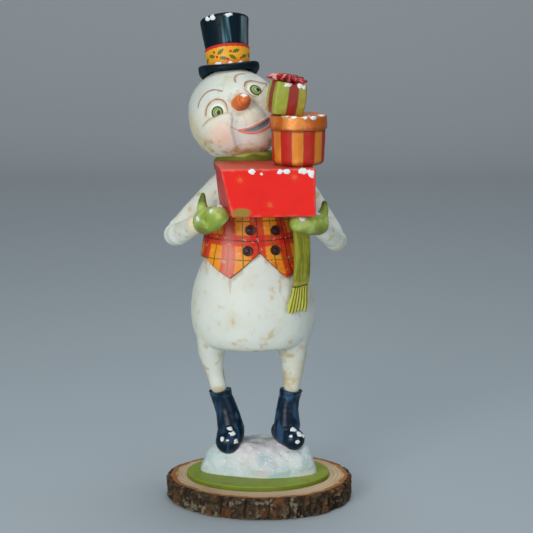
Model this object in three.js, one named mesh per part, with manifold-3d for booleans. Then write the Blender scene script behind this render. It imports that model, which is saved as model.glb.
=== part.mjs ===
// A painted snowman figurine that carries three gift boxes and stands on a slice of a branch.
// Millimetres, +Z up, -Y towards the viewer; left and right are the viewer's.
// The origin is the centre of the slice's flat underside.
import * as THREE from 'three';
import { ParametricGeometry } from 'three/addons/geometries/ParametricGeometry.js';
import { RoundedBoxGeometry } from 'three/addons/geometries/RoundedBoxGeometry.js';
import { mergeVertices } from 'three/addons/utils/BufferGeometryUtils.js';
import Module from 'manifold-3d';

const wasm = await Module();
wasm.setup();

const { cos, sin, sqrt, exp, abs, min, max, acos, PI } = Math;
const TURN = 2 * PI;
const rad = THREE.MathUtils.degToRad;
const smoothstep = THREE.MathUtils.smoothstep;
const vec = (x, y, z) => new THREE.Vector3(x, y, z);

// Driving dimensions

const GAP = 0.3; // clearance between touching pieces

const SLICE = { halfWidth: 50.7, halfDepth: 47, thickness: 12, ridges: 16, ridgeDepth: 0.7 };
const PLINTH = { x: -1.2, y: 0, halfWidth: 39.3, halfDepth: 33, thickness: 2.6, rounding: 0.8 };
const MOUND = { x: -1.6, y: 2.5, halfWidth: 31.8, halfDepth: 18.5, height: 17, turn: rad(-10) };
const MOUND_BASE = SLICE.thickness + PLINTH.thickness;

// Torso: half-widths at heights; it leans to the left towards the neck
const TORSO_PROFILE = [
  [0, 84.2], [15, 84.4], [26.5, 86], [31.6, 91], [33.7, 99], [33.9, 107], [32.4, 118], [29.4, 127],
  [26.2, 135], [23.7, 145], [21.7, 155], [19.4, 165], [16, 174], [10.6, 180.5], [7.2, 184], [7, 187],
  [0, 188.5],
];
const TORSO = { x: -3.9, y: 3.2, depthRatio: 0.84, leanFrom: 125, lean: 0.055, facing: rad(10) };

// Legs: centre, radius from hip to ankle
const LEGS = {
  left: [[-26, 2, 91, 8.8], [-26.7, 2, 80, 6.2], [-24.9, 2, 70, 4.6], [-22.8, 2, 61.5, 4.1]],
  right: [[17.4, 2, 91, 9.4], [18.3, 2, 80, 6.5], [18, 2, 70, 5.5], [17.5, 2, 61.5, 4.7]],
};

const BOOTS = {
  left: {
    shaft: [[-21.9, 2, 59.4, 6.2], [-20.7, 2, 55, 5.9], [-18.4, 1.6, 48.3, 6.3], [-16.6, 0.4, 40.5, 7.2]],
    foot: [[-15.6, 4, 37.2, 7], [-16.2, -1.6, 36, 7.5], [-17.6, -6.2, 32.6, 6.7]],
  },
  right: {
    shaft: [[16.9, 2, 59.6, 6.3], [16, 2, 55, 5.8], [15, 1.4, 48, 6.2], [14.8, -0.4, 40.5, 7.3]],
    foot: [[12, 3.2, 36.2, 6], [14.8, -1.6, 35.6, 6.9], [18.4, -5.8, 33.8, 6.1]],
  },
};

// Vest: a thin coat over the torso; the hem is straight but for two points and the notch between them
const VEST = { thickness: 1.3, lining: 0.8, top: 179.5 };
const HEM = { side: 135, notch: 139.8, point: 126.2, leftAt: rad(33), rightAt: rad(26), sideAt: rad(70) };
const BUTTON = { radius: 2.7, height: 1.5, spots: [[-5.2, 153.2], [8, 152.6], [-6.5, 142.2], [8, 142.2]] };

const SCARF = { x: -8, y: 3, z: 186.4, radius: 13, thickness: 4, height: 4.6, rise: rad(7) };
const SCARF_TAIL = [
  [3, -7.4, 186], [9.5, -8.4, 178], [16, -9, 168], [20.6, -13, 158], [22.3, -16.6, 147], [22.6, -17.4, 135],
  [22.1, -17, 124.5], [21.8, -17, 122.5], [20.9, -18.2, 117], [19.7, -20.4, 108],
];
const SCARF_STRIP = { halfWidth: 5, halfThickness: 1.8, facing: rad(38), hem: 123.5, flare: 1.34 };

// Head: turned, nodded and rolled about its centre; directions on it are [right, up] of its own front
const HEAD = { x: -14.4, y: 0, z: 212.6, radius: 24, sag: 2 };
const HEAD_TURNS = [rad(-25.5), rad(-29.6), rad(5.3)];
const FACE_LUMPS = [
  { at: [0.72, -0.38], rise: 2.6, spread: 0.42, both: true },
  { at: [0.02, -0.46], rise: 2, spread: 0.32 },
  { at: [0, -0.88], rise: 1.6, spread: 0.27 },
  { at: [0.51, 0.03], rise: -1.7, spread: 0.25, both: true },
  { at: [0.51, 0], rise: 1.7, spread: 0.16, both: true },
  { at: [0.45, 0.42], rise: 0.7, spread: 0.24, both: true },
];
const NOSE = { at: [0.01, -0.155], radius: 4.3, tip: 3.1, length: 8.4, sideways: rad(15), down: rad(12) };

// Hat: its brim sits over the head's centre and curls up on both sides
const HAT = { seat: 21.2, hollow: 24.9, back: rad(-19.6), roll: rad(-5.4) };
const BRIM = { radius: 16.5, z: 0.3, halfThickness: 1.9, curl: 3.7 };
const CROWN = { bottom: 10.2, top: 13.2, height: 31, rounding: 1.2 };
const BAND = { from: 2.6, to: 14.2, thickness: 0.4 };

const ARMS = {
  left: [
    [-16, 3, 175.5, 7], [-21, 2, 173, 6.8], [-33, -0.5, 161, 6.3],
    [-45.4, -5, 148.2, 5.9], [-40.5, -15, 151, 5.5], [-34, -24.5, 156, 5.1],
  ],
  right: [
    [15, 3, 176.5, 7], [21.5, 2, 174, 6.6], [31, 0, 160.5, 6],
    [40.6, -4.5, 144.8, 5.7], [38, -14, 148, 5.3], [33.5, -22.5, 153, 5],
  ],
};
const MITTENS = {
  left: {
    palm: [[-28.6, -29, 158.4, 6.8], [-25.4, -35, 160.6, 6.6], [-21.8, -40, 163, 5.6]],
    thumb: [[-29.3, -29.6, 161, 4.2], [-30.2, -28.2, 166.6, 2.8], [-29.9, -27.4, 172.2, 1.3]],
  },
  right: {
    palm: [[30.3, -30, 157.2, 5.9], [25.5, -35.5, 157.8, 5.4], [19.6, -40, 158.9, 4.3]],
    thumb: [[32.4, -29.5, 160, 3.2], [33.8, -28.6, 164.5, 2.3], [34, -28.4, 168, 1.4]],
  },
};

// The red box is narrower below: its left side slants in, more so at the front than at the back
const RED_BOX = { width: 49.4, depth: 34.5, height: 25.1, edge: 1, slantFront: 6.2, slantBack: 2.4 };
const RED_BOX_AT = { x: 2.5, y: -33.4, z: 163.9, turn: rad(6.2) };
const ROUND_BOX = { x: 20.1, y: -30.5, bottom: 13.6, top: 14.2, height: 18.8, rounding: 3 };
const ROUND_LID = { radius: 14.9, height: 7.2, rounding: 1 };
const GREEN_BOX = { width: 15.8, depth: 12.6, height: 17.2, bulge: 0.9, edge: 1.1 };
const GREEN_BOX_AT = { x: 12.7, y: -30.5, turn: rad(20), roll: rad(8) };
const BOW = { x: -0.6, radius: 10.4, depth: 8, halfHeight: 1.8, petals: 10 };

// Closed surfaces and solids

/** A closed surface: point(angle, v) runs once round in angle and from one pole to the other in v. */
function closedSurface(point, around, along) {
  const place = (u, v, target) => target.copy(point(u === 1 ? 0 : u * TURN, v));
  return new ParametricGeometry(place, around, along);
}

/** Triangles of a geometry with shared corners and no empty ones. */
function weld(geometry) {
  const bare = new THREE.BufferGeometry();
  bare.setAttribute('position', geometry.getAttribute('position').clone());
  bare.setIndex(geometry.index ? geometry.index.clone() : null);
  const shared = mergeVertices(bare, 1e-4);
  const corners = [];
  for (let i = 0; i < shared.index.count; i += 3) {
    const [a, b, c] = [0, 1, 2].map((k) => shared.index.getX(i + k));
    if (a !== b && b !== c && c !== a) corners.push(a, b, c);
  }
  shared.setIndex(corners);
  return shared;
}

function solidOf(geometry) {
  const shared = weld(geometry);
  const mesh = (order) => new wasm.Mesh({
    numProp: 3,
    vertProperties: new Float32Array(shared.getAttribute('position').array),
    triVerts: new Uint32Array(order),
  });
  const corners = Array.from(shared.index.array);
  const solid = new wasm.Manifold(mesh(corners));
  return solid.volume() > 0 ? solid : new wasm.Manifold(mesh(corners.reverse()));
}

function geometryOf(solid) {
  const { vertProperties, triVerts } = solid.getMesh();
  const geometry = new THREE.BufferGeometry();
  geometry.setAttribute('position', new THREE.Float32BufferAttribute(vertProperties, 3));
  geometry.setIndex(Array.from(triVerts));
  geometry.computeVertexNormals();
  return geometry;
}

const largestBody = (solid) => solid.decompose().reduce((a, b) => (a.volume() > b.volume() ? a : b));

const joined = (...geometries) => geometryOf(geometries.map(solidOf).reduce((a, b) => a.add(b)));

/** The geometry with every corner moved out along its normal. */
function grown(geometry, distance) {
  const out = geometryOf(solidOf(geometry));
  const position = out.getAttribute('position');
  const normal = out.getAttribute('normal');
  for (let i = 0; i < position.count; i += 1) {
    const moved = vec().fromBufferAttribute(position, i);
    moved.addScaledVector(vec().fromBufferAttribute(normal, i), distance);
    position.setXYZ(i, moved.x, moved.y, moved.z);
  }
  return out;
}

/** A limb: a round skin along a smooth path through [x, y, z, radius] stations, with domed or flat ends. */
function limb(stations, { sides = 12, steps = 6, capRings = 3, startDome = 1 } = {}) {
  const path = new THREE.CatmullRomCurve3(stations.map(([x, y, z]) => vec(x, y, z)));
  const radii = new THREE.SplineCurve(stations.map(([, , , r], i) => new THREE.Vector2(i, r)));
  const rings = [];
  for (let i = 0; i <= capRings; i += 1) rings.push([0, (i / capRings) * PI / 2 - PI / 2]);
  for (let i = 1; i < steps; i += 1) rings.push([i / steps, 0]);
  for (let i = 0; i <= capRings; i += 1) rings.push([1, (i / capRings) * PI / 2]);
  const side = vec(0.31, 0.12, 0.94);
  return closedSurface((angle, v) => {
    const [t, dome] = rings[Math.round(v * (rings.length - 1))];
    const radius = radii.getPoint(t).y;
    const along = path.getTangent(t);
    const across = vec().crossVectors(along, side).normalize();
    const upward = vec().crossVectors(across, along);
    return path.getPoint(t)
      .addScaledVector(along, radius * sin(dome) * (t === 0 ? startDome : 1))
      .addScaledVector(across, radius * cos(dome) * cos(angle))
      .addScaledVector(upward, radius * cos(dome) * sin(angle));
  }, sides, rings.length - 1);
}

/** A turned shape about Z from [radius, z] points; the ends close on the axis. */
function turned(points, segments) {
  const lathe = new THREE.LatheGeometry(points.map(([r, z]) => new THREE.Vector2(r, z)), segments);
  return lathe.rotateX(PI / 2);
}

/** Points of a rounded corner between two perpendicular runs of a profile. */
function corner(centreR, centreZ, radius, from, steps = 3) {
  return Array.from({ length: steps + 1 }, (_, i) => {
    const angle = from + (i / steps) * PI / 2;
    return [centreR + radius * cos(angle), centreZ + radius * sin(angle)];
  });
}

// Base

function woodSlice() {
  const rings = [[0, 0], [0.97, 0], [1, 1.2], [1.004, 6], [0.997, 10.8], [0.97, 12], [0, 12]];
  const { halfWidth, halfDepth, ridges, ridgeDepth } = SLICE;
  return closedSurface((angle, v) => {
    const [share, z] = rings[Math.round(v * (rings.length - 1))];
    const slow = 0.012 * cos(2 * angle + 0.45) + 0.012 * cos(3 * angle + 3.8);
    const uneven = 1 + slow + 0.006 * cos(5 * angle + 4.3);
    const ridge = share > 0.98 ? ridgeDepth * cos(ridges * angle + 1.5 * sin(2 * angle)) : 0;
    const [across, ahead] = [halfWidth, halfDepth].map((half) => (half * uneven - 1 + ridge) * share);
    return vec(across * cos(angle), ahead * sin(angle), z);
  }, 48, rings.length - 1);
}

function plinth() {
  const { halfWidth, halfDepth, thickness, rounding } = PLINTH;
  const edge = 1 - rounding / halfDepth;
  const rim = corner(edge, 0, 1 - edge, 0, 2).map(([r, z]) => [r, thickness - rounding + z * halfDepth]);
  return turned([[0, 0], [1, 0], ...rim, [0, thickness]], 36).scale(halfWidth, halfDepth, 1);
}

function moundHeight(share, angle) {
  const lumps = 1 + 0.05 * sin(2 * angle + 0.8) * share + 0.04 * sin(3 * angle + 2.1) * share;
  return MOUND.height * (1 - share ** 5) ** 0.58 * lumps;
}

function snowMound() {
  const { halfWidth, halfDepth } = MOUND;
  return closedSurface((angle, v) => {
    const share = v < 0.1 ? v * 10 : sin((1 - v) / 0.9 * PI / 2) ** 0.7;
    const edge = 1 + 0.035 * cos(3 * angle + 1) + 0.03 * cos(5 * angle + 0.3);
    const z = v < 0.11 ? 0 : moundHeight(share, angle);
    return vec(halfWidth * edge * share * cos(angle), halfDepth * edge * share * sin(angle), z);
  }, 26, 7);
}

// Body and clothes

const torsoCurve = new THREE.SplineCurve(TORSO_PROFILE.map(([r, z]) => new THREE.Vector2(r, z)));
const torsoShift = (z) => -TORSO.lean * max(0, z - TORSO.leanFrom);

/** The half-width of the torso at a height. */
function torsoHalfWidth(z) {
  let [low, high] = [0, 1];
  for (let i = 0; i < 40; i += 1) {
    const middle = (low + high) / 2;
    if (torsoCurve.getPoint(middle).y < z) low = middle;
    else high = middle;
  }
  return torsoCurve.getPoint(low).x;
}

/** A point of the torso, moved out by a coat; the angle is 0 at the front and grows to the right. */
function torsoPoint(angle, halfWidth, z, coat = 0) {
  const across = (halfWidth + coat) * sin(angle);
  const ahead = (halfWidth * TORSO.depthRatio + coat) * cos(angle);
  return vec(TORSO.x + torsoShift(z) + across, TORSO.y - ahead, z);
}

function torso(coat = 0) {
  return closedSurface((angle, v) => {
    const { x, y } = torsoCurve.getPoint(v);
    return torsoPoint(angle, x, y, coat * min(1, x));
  }, 22, 15);
}

function body() {
  const legs = [LEGS.left, LEGS.right].map((leg) => limb(leg, { sides: 10, steps: 5, capRings: 2 }));
  return joined(torso(), ...legs);
}

function boot({ shaft, foot }) {
  const upper = limb(shaft, { sides: 10, steps: 4, capRings: 1, startDome: 0 });
  return joined(upper, limb(foot, { sides: 10, steps: 3 }));
}

/** The height of the vest's hem round the body: straight runs from notch to point and from point to side. */
function hemHeight(angle) {
  const { side, notch, point, leftAt, rightAt, sideAt } = HEM;
  const off = Math.atan2(sin(angle - TORSO.facing), cos(angle - TORSO.facing));
  const pointAt = off < 0 ? leftAt : rightAt;
  if (abs(off) < pointAt) return notch + (point - notch) * (abs(off) / pointAt);
  return point + (side - point) * min(1, (abs(off) - pointAt) / (sideAt - pointAt));
}

function vest() {
  const rows = 5;
  return closedSurface((angle, v) => {
    const turn = v === 1 ? 0 : v * 2 * rows;
    const outside = turn < rows;
    const down = 1 - (outside ? turn : 2 * rows - 1 - turn) / (rows - 1);
    const z = VEST.top - (VEST.top - hemHeight(angle)) * down ** 1.5;
    return torsoPoint(angle, torsoHalfWidth(z), z, VEST.lining + (outside ? VEST.thickness : 0));
  }, 40, 2 * rows);
}

function buttonMesh(number, [x, z]) {
  const { radius, height } = BUTTON;
  const profile = [[0, 0], [radius, 0], [radius, height * 0.4], [radius * 0.8, height * 0.85], [0, height]];
  const coat = VEST.lining + VEST.thickness;
  const halfWidth = torsoHalfWidth(z) + coat;
  const angle = Math.asin((x - TORSO.x - torsoShift(z)) / halfWidth);
  const spot = torsoPoint(angle, torsoHalfWidth(z), z, coat + GAP);
  const outward = vec(sin(angle) * TORSO.depthRatio, -cos(angle), 0.16).normalize();
  const mesh = piece(`vest_button_${number}`, turned(profile, 12), finish.plum);
  mesh.position.copy(spot).addScaledVector(outward, 0.4);
  mesh.quaternion.setFromUnitVectors(vec(0, 0, 1), outward);
  return mesh;
}

/** A sine or cosine pushed outwards, for sections between an oval and a rectangle. */
const squared = (value) => Math.sign(value) * abs(value) ** 0.6;

function scarf() {
  const wrap = closedSurface((angle, v) => {
    const section = v === 1 ? 0 : v * TURN;
    const fold = 1 + 0.1 * sin(5 * angle + 2 * section);
    const out = SCARF.radius + SCARF.thickness * fold * cos(section);
    const z = SCARF.z + SCARF.height * fold * sin(section) + out * cos(angle) * sin(SCARF.rise);
    return vec(SCARF.x + out * cos(angle), SCARF.y + out * sin(angle), z);
  }, 22, 6);
  const path = new THREE.CatmullRomCurve3(SCARF_TAIL.map((p) => vec(...p)));
  const { halfWidth, halfThickness, facing, hem, flare } = SCARF_STRIP;
  const rings = [0, 0, 0.12, 0.24, 0.36, 0.48, 0.6, 0.69, 0.735, 0.78, 1, 1];
  const tail = closedSurface((angle, v) => {
    const at = Math.round(v * (rings.length - 1));
    const open = at === 0 || at === rings.length - 1 ? 0 : 1;
    const centre = path.getPoint(rings[at]);
    const fringe = smoothstep(hem - centre.z, 0, 12);
    const pinch = 1 - 0.14 * exp(-(((centre.z - hem) / 1.2) ** 2));
    const wide = halfWidth * pinch * (1 + (flare - 1) * fringe) * squared(cos(angle));
    const thick = halfThickness * pinch * squared(sin(angle));
    return centre
      .addScaledVector(vec(cos(facing), sin(facing), 0), open * wide)
      .addScaledVector(vec(sin(facing), -cos(facing), 0), open * thick);
  }, 10, rings.length - 1);
  return joined(wrap, tail);
}

// Head and hat

/** A direction from the head's centre, from its [right, up] parts. */
function faceDirection([right, up]) {
  return vec(right, -sqrt(max(0, 1 - right * right - up * up)), up);
}

/** Straight down, in the head's own frame. */
const headTurn = new THREE.Quaternion().setFromEuler(new THREE.Euler(...HEAD_TURNS, 'ZXY'));
const headDown = vec(0, 0, -1).applyQuaternion(headTurn.clone().invert());

/** The head's radius in a direction of its own frame: a ball that sags, with the lumps of the face. */
function headRadius(direction) {
  let radius = HEAD.radius + HEAD.sag * max(0, direction.dot(headDown)) ** 2;
  for (const { at, rise, spread, both } of FACE_LUMPS) {
    for (const side of both ? [1, -1] : [1]) {
      const away = acos(min(1, direction.dot(faceDirection([side * at[0], at[1]]))));
      radius += rise * exp(-((away / spread) ** 2));
    }
  }
  return radius;
}

function head() {
  return closedSurface((angle, v) => {
    const height = PI * (v - 0.5);
    const direction = vec(cos(height) * cos(angle), cos(height) * sin(angle), sin(height));
    if (v === 0 || v === 1) direction.set(0, 0, v === 0 ? -1 : 1);
    return direction.multiplyScalar(headRadius(direction));
  }, 30, 15);
}

function noseMesh() {
  const { at, radius, tip, length, sideways, down } = NOSE;
  const profile = [
    [0, -3], [radius, -3], [radius, 1], [radius * 0.94, 4], [tip * 1.08, length - tip],
    ...corner(0, length - tip, tip, 0).slice(1, -1), [0, length],
  ];
  const mesh = piece('carrot_nose', turned(profile, 14), finish.carrot);
  mesh.position.copy(faceDirection(at)).multiplyScalar(HEAD.radius + 1.2);
  const axis = vec(sin(sideways), -cos(sideways) * cos(down), -sin(down)).normalize();
  mesh.quaternion.setFromUnitVectors(vec(0, 0, 1), axis);
  return mesh;
}

const crownRadius = (h) => CROWN.bottom + (CROWN.top - CROWN.bottom) * (h / CROWN.height);

/** The height over the brim of the hollow that sits on the head. */
const hollowHeight = (r) => sqrt(HAT.hollow ** 2 - r * r) - HAT.seat;

function topHat() {
  const { radius, z: middle, halfThickness, curl } = BRIM;
  const hollow = [0, 5, 9, 12, 14].map((r) => [r, hollowHeight(r)]);
  const rim = [-PI / 2, 0].map((from) => corner(radius - halfThickness, middle, halfThickness, from, 2));
  const crownEdge = corner(CROWN.top - CROWN.rounding, CROWN.height - CROWN.rounding, CROWN.rounding, 0, 2);
  const profile = [
    ...hollow, ...rim[0], ...rim[1].slice(1), [crownRadius(2) + 1, middle + halfThickness],
    [crownRadius(2), middle + halfThickness], ...crownEdge, [0, CROWN.height],
  ];
  const geometry = turned(profile, 26);
  const position = geometry.getAttribute('position');
  for (let i = 0; i < position.count; i += 1) {
    const [x, y, z] = [position.getX(i), position.getY(i), position.getZ(i)];
    const out = smoothstep(Math.hypot(x, y), CROWN.bottom + 1, radius);
    if (z < CROWN.bottom) position.setZ(i, z + curl * out * (x / radius) ** 2);
  }
  return geometry;
}

function hatBand() {
  const { from, to, thickness } = BAND;
  const inner = (h) => crownRadius(h) + GAP;
  const outer = (h) => inner(h) + thickness;
  const start = [inner(from), from];
  return turned([start, [outer(from), from], [outer(to), to], [inner(to), to], start], 30);
}

// Gifts

function taperedBox() {
  const { width, depth, height, edge, slantFront, slantBack } = RED_BOX;
  const geometry = new RoundedBoxGeometry(width, depth, height, 1, edge).translate(0, 0, height / 2);
  const position = geometry.getAttribute('position');
  for (let i = 0; i < position.count; i += 1) {
    const [x, y, z] = [position.getX(i), position.getY(i), position.getZ(i)];
    const slant = slantBack + (slantFront - slantBack) * (0.5 - y / depth);
    position.setX(i, x + slant * (0.5 - x / width) * (1 - z / height));
  }
  return geometry;
}

function roundBox() {
  const { bottom, top, height, rounding } = ROUND_BOX;
  const foot = corner(bottom - rounding, rounding, rounding, -PI / 2);
  return turned([[0, 0], ...foot, [top, height], [0, height]], 30);
}

function roundLid() {
  const { radius, height, rounding } = ROUND_LID;
  const rim = corner(radius - rounding, height - rounding, rounding, 0, 2);
  return turned([[0, 0], [radius, 0], ...rim, [0, height]], 30);
}

function bulgingBox() {
  const { width, depth, height, bulge, edge } = GREEN_BOX;
  const geometry = new RoundedBoxGeometry(width, depth, height, 2, edge).translate(0, 0, height / 2);
  const position = geometry.getAttribute('position');
  for (let i = 0; i < position.count; i += 1) {
    const swell = 1 + (bulge / width) * 2 * sin(PI * min(1, max(0, position.getZ(i) / height)));
    position.setX(i, position.getX(i) * swell);
    position.setY(i, position.getY(i) * swell);
  }
  return geometry;
}

function bow() {
  return closedSurface((angle, v) => {
    const height = PI * (v - 0.5);
    const petal = 1 + 0.07 * cos(BOW.petals * angle) * cos(height);
    const out = v === 0 || v === 1 ? 0 : cos(height) ** 0.6 * petal;
    const z = BOW.halfHeight * (1 + sin(height));
    return vec(BOW.radius * out * cos(angle), BOW.depth * out * sin(angle), z);
  }, 30, 5);
}

// Finishes

function paint(color, roughness, metalness = 0) {
  return new THREE.MeshStandardMaterial({ color, roughness, metalness });
}

const finish = {
  wood: paint(0xb98a5a, 0.8),
  plinth: paint(0x2f5a2c, 0.45),
  snow: paint(0xe4ece6, 0.75),
  skin: paint(0xdde2d2, 0.55),
  boot: paint(0x1b2030, 0.25),
  vest: paint(0xc58a2e, 0.5),
  plum: paint(0x4a2630, 0.3),
  scarf: paint(0x4d7a2c, 0.5),
  carrot: paint(0xd9772b, 0.5),
  hat: paint(0x181c2b, 0.35),
  band: paint(0xc9a03c, 0.45),
  mitten: paint(0x3c6e2f, 0.45),
  redBox: paint(0xa8202a, 0.35),
  goldBox: paint(0xb5842f, 0.35, 0.4),
  lid: paint(0xb27a35, 0.3, 0.6),
  greenBox: paint(0x3f7a35, 0.4),
  bow: paint(0xb81f2c, 0.25, 0.3),
};

// Pieces in their places

const figurine = new THREE.Group();
figurine.name = 'snowman_figurine';

function piece(name, geometry, material) {
  const mesh = new THREE.Mesh(geometryOf(solidOf(geometry)), material);
  mesh.name = name;
  return mesh;
}

function placed(mesh, x, y, z, turns = [0, 0, 0], order = 'ZXY') {
  mesh.position.set(x, y, z);
  mesh.rotation.set(...turns, order);
  return mesh;
}

/** Cuts the neighbours, grown by the clearance, out of a piece and keeps its main body. */
function carve(mesh, ...neighbours) {
  figurine.updateMatrixWorld(true);
  const toLocal = mesh.matrixWorld.clone().invert();
  let solid = solidOf(mesh.geometry);
  for (const neighbour of neighbours) {
    const cutter = grown(neighbour.geometry, GAP).applyMatrix4(neighbour.matrixWorld).applyMatrix4(toLocal);
    solid = solid.subtract(solidOf(cutter));
  }
  mesh.geometry = geometryOf(largestBody(solid));
}

const base = new THREE.Group();
const slice = piece('wood_slice', woodSlice(), finish.wood);
const foot = placed(piece('plinth', plinth(), finish.plinth), PLINTH.x, PLINTH.y, SLICE.thickness);
const mound = piece('snow_mound', snowMound(), finish.snow);
placed(mound, MOUND.x, MOUND.y, MOUND_BASE, [0, 0, MOUND.turn]);
base.add(slice, foot, mound);

const snowman = new THREE.Group();
const bodyMesh = piece('body', body(), finish.skin);
const bootLeft = piece('boot_left', boot(BOOTS.left), finish.boot);
const bootRight = piece('boot_right', boot(BOOTS.right), finish.boot);
const vestMesh = piece('vest', vest(), finish.vest);
const buttons = BUTTON.spots.map((spot, i) => buttonMesh(i + 1, spot));
const scarfMesh = piece('scarf', scarf(), finish.scarf);
const armLeft = piece('arm_left', limb(ARMS.left, { sides: 10, steps: 10 }), finish.skin);
const armRight = piece('arm_right', limb(ARMS.right, { sides: 10, steps: 10 }), finish.skin);
const hands = ['left', 'right'].map((side) => {
  const { palm, thumb } = MITTENS[side];
  const hand = joined(limb(palm, { sides: 10, steps: 4 }), limb(thumb, { sides: 8, steps: 3, capRings: 2 }));
  return piece(`mitten_${side}`, hand, finish.mitten);
});
snowman.add(bodyMesh, bootLeft, bootRight, vestMesh, ...buttons, scarfMesh, armLeft, armRight, ...hands);

const headGroup = placed(new THREE.Group(), HEAD.x, HEAD.y, HEAD.z, HEAD_TURNS);
const headMesh = piece('head', head(), finish.skin);
const nose = noseMesh();
headGroup.add(headMesh, nose);
const hatGroup = placed(new THREE.Group(), HEAD.x, HEAD.y, HEAD.z, [HAT.back, HAT.roll, 0]);
hatGroup.translateZ(HAT.seat);
const hat = piece('top_hat', topHat(), finish.hat);
const band = piece('hat_band', hatBand(), finish.band);
hatGroup.add(hat, band);
snowman.add(headGroup, hatGroup);

const gifts = new THREE.Group();
const redBox = piece('red_gift_box', taperedBox(), finish.redBox);
placed(redBox, RED_BOX_AT.x, RED_BOX_AT.y, RED_BOX_AT.z, [0, 0, RED_BOX_AT.turn]);
const stripedZ = RED_BOX_AT.z + RED_BOX.height;
const striped = piece('round_gift_box', roundBox(), finish.goldBox);
placed(striped, ROUND_BOX.x, ROUND_BOX.y, stripedZ);
const lidZ = stripedZ + ROUND_BOX.height;
const lid = placed(piece('round_gift_lid', roundLid(), finish.lid), ROUND_BOX.x, ROUND_BOX.y, lidZ);
const greenZ = lidZ + ROUND_LID.height;
const greenGroup = new THREE.Group();
placed(greenGroup, GREEN_BOX_AT.x, GREEN_BOX_AT.y, greenZ, [0, GREEN_BOX_AT.roll, 0]);
const greenBox = piece('green_gift_box', bulgingBox(), finish.greenBox);
placed(greenBox, 0, 0, 0, [0, 0, GREEN_BOX_AT.turn]);
const bowMesh = placed(piece('gift_bow', bow(), finish.bow), BOW.x, 0, GREEN_BOX.height);
greenGroup.add(greenBox, bowMesh);
gifts.add(redBox, striped, lid, greenGroup);

figurine.add(base, snowman, gifts);

carve(bodyMesh, headMesh);
carve(vestMesh, bodyMesh);
carve(bootLeft, bodyMesh);
carve(bootRight, bodyMesh);
carve(mound, bootLeft, bootRight);
carve(nose, headMesh);
for (const hand of hands) carve(hand, redBox);
const clothed = piece('clothed_torso', torso(VEST.lining + VEST.thickness + GAP), finish.vest);
carve(scarfMesh, headMesh, clothed, armLeft, armRight);
carve(armLeft, clothed, hands[0]);
carve(armRight, clothed, hands[1]);
carve(greenBox, lid);

export default figurine;
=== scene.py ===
"""Dresses the snowman figurine: painted cast resin, thick snow paint and a bark-edged slice of wood.

Shapes are worked out in millimetres, +Z up, -Y towards the viewer, and go into the meshes in metres.
Left and right are the viewer's. A mark is a field on a mesh's points: millimetres, positive inside.
"""

import logging
from collections.abc import Sequence
from dataclasses import dataclass, field
from enum import Enum

import bpy
import numpy as np
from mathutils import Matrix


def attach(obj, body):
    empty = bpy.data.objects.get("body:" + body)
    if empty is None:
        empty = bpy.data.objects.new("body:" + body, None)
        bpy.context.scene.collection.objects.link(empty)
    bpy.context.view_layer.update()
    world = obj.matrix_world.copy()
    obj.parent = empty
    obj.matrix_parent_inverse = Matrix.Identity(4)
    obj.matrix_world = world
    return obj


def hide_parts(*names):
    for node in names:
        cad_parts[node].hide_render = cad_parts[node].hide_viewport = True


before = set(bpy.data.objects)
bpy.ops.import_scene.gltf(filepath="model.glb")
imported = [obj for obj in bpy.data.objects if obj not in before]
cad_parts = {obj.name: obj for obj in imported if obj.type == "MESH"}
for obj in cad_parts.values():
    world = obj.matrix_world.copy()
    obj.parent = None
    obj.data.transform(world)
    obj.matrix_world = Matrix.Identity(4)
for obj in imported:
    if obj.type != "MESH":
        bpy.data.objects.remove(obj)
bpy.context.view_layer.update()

Array = np.ndarray
Color = tuple[float, float, float]
Place = tuple[float, float]
Spot = tuple[float, float, float]
Station = tuple[float, float, float, float]
Places = tuple[Place, ...]
Rows = Sequence[Sequence[float]] | Array
Socket = bpy.types.NodeSocket
Tree = bpy.types.NodeTree

MM = 0.001
TURN = 2.0 * np.pi
OFF = -9.0  # a field where its mark is nowhere near
NO_TRIS = np.zeros((0, 3), dtype=int)
COAT_ROUGHNESS = 0.12
CLOUD_DETAIL = 5.0
BRUSH_DEPTH = 0.15
BRUSH_CELLS = 900.0
CELL_PRIMES = np.array([73856093, 19349663, 83492791], dtype=np.uint64)
SEED_PRIME = np.uint64(7919)
STIR_FIRST, STIR_LAST = np.uint64(2654435761), np.uint64(2246822519)
WORD = np.uint64(2**32 - 1)
HALF_RANGE = (2**24 - 1) / 2.0
NOISE_START = 37.7
LIMB_UP = (0.31, 0.12, 0.94)  # a direction that no limb follows
LOG = logging.getLogger("snowman")


class Side(Enum):
    """The viewer's two sides."""

    LEFT = "left"
    RIGHT = "right"


# Curves, noise and turns


def smooth(low: float, high: float, value: Array) -> Array:
    """Rises from 0 at low to 1 at high along 3t^2 - 2t^3."""
    t = np.clip((value - low) / (high - low), 0.0, 1.0)
    return t * t * (3.0 - 2.0 * t)


def bell(distance: Array, spread: float) -> Array:
    """A bump of height 1: exp(-(distance / spread)^2)."""
    return np.exp(-((distance / spread) ** 2))


def spline(knots: Sequence[Sequence[float]], t: Array) -> Array:
    """A uniform Catmull-Rom curve through the knots.

    Args:
        knots: the points of the curve, in any number of dimensions.
        t: places along it, from 0 to 1.

    Returns:
        One row per place.
    """
    rows = np.asarray(knots, dtype=float)
    last = len(rows) - 1
    place = np.clip(np.asarray(t, dtype=float), 0.0, 1.0) * last
    start = np.minimum(place.astype(int), last - 1)
    w = (place - start)[:, None]
    before, here = rows[np.maximum(start - 1, 0)], rows[start]
    there, after = rows[start + 1], rows[np.minimum(start + 2, last)]
    leave, arrive = (there - before) / 2.0, (after - here) / 2.0
    cubic = (2.0 * here - 2.0 * there + leave + arrive) * w**3
    return cubic + (-3.0 * here + 3.0 * there - 2.0 * leave - arrive) * w**2 + leave * w + here


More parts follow.
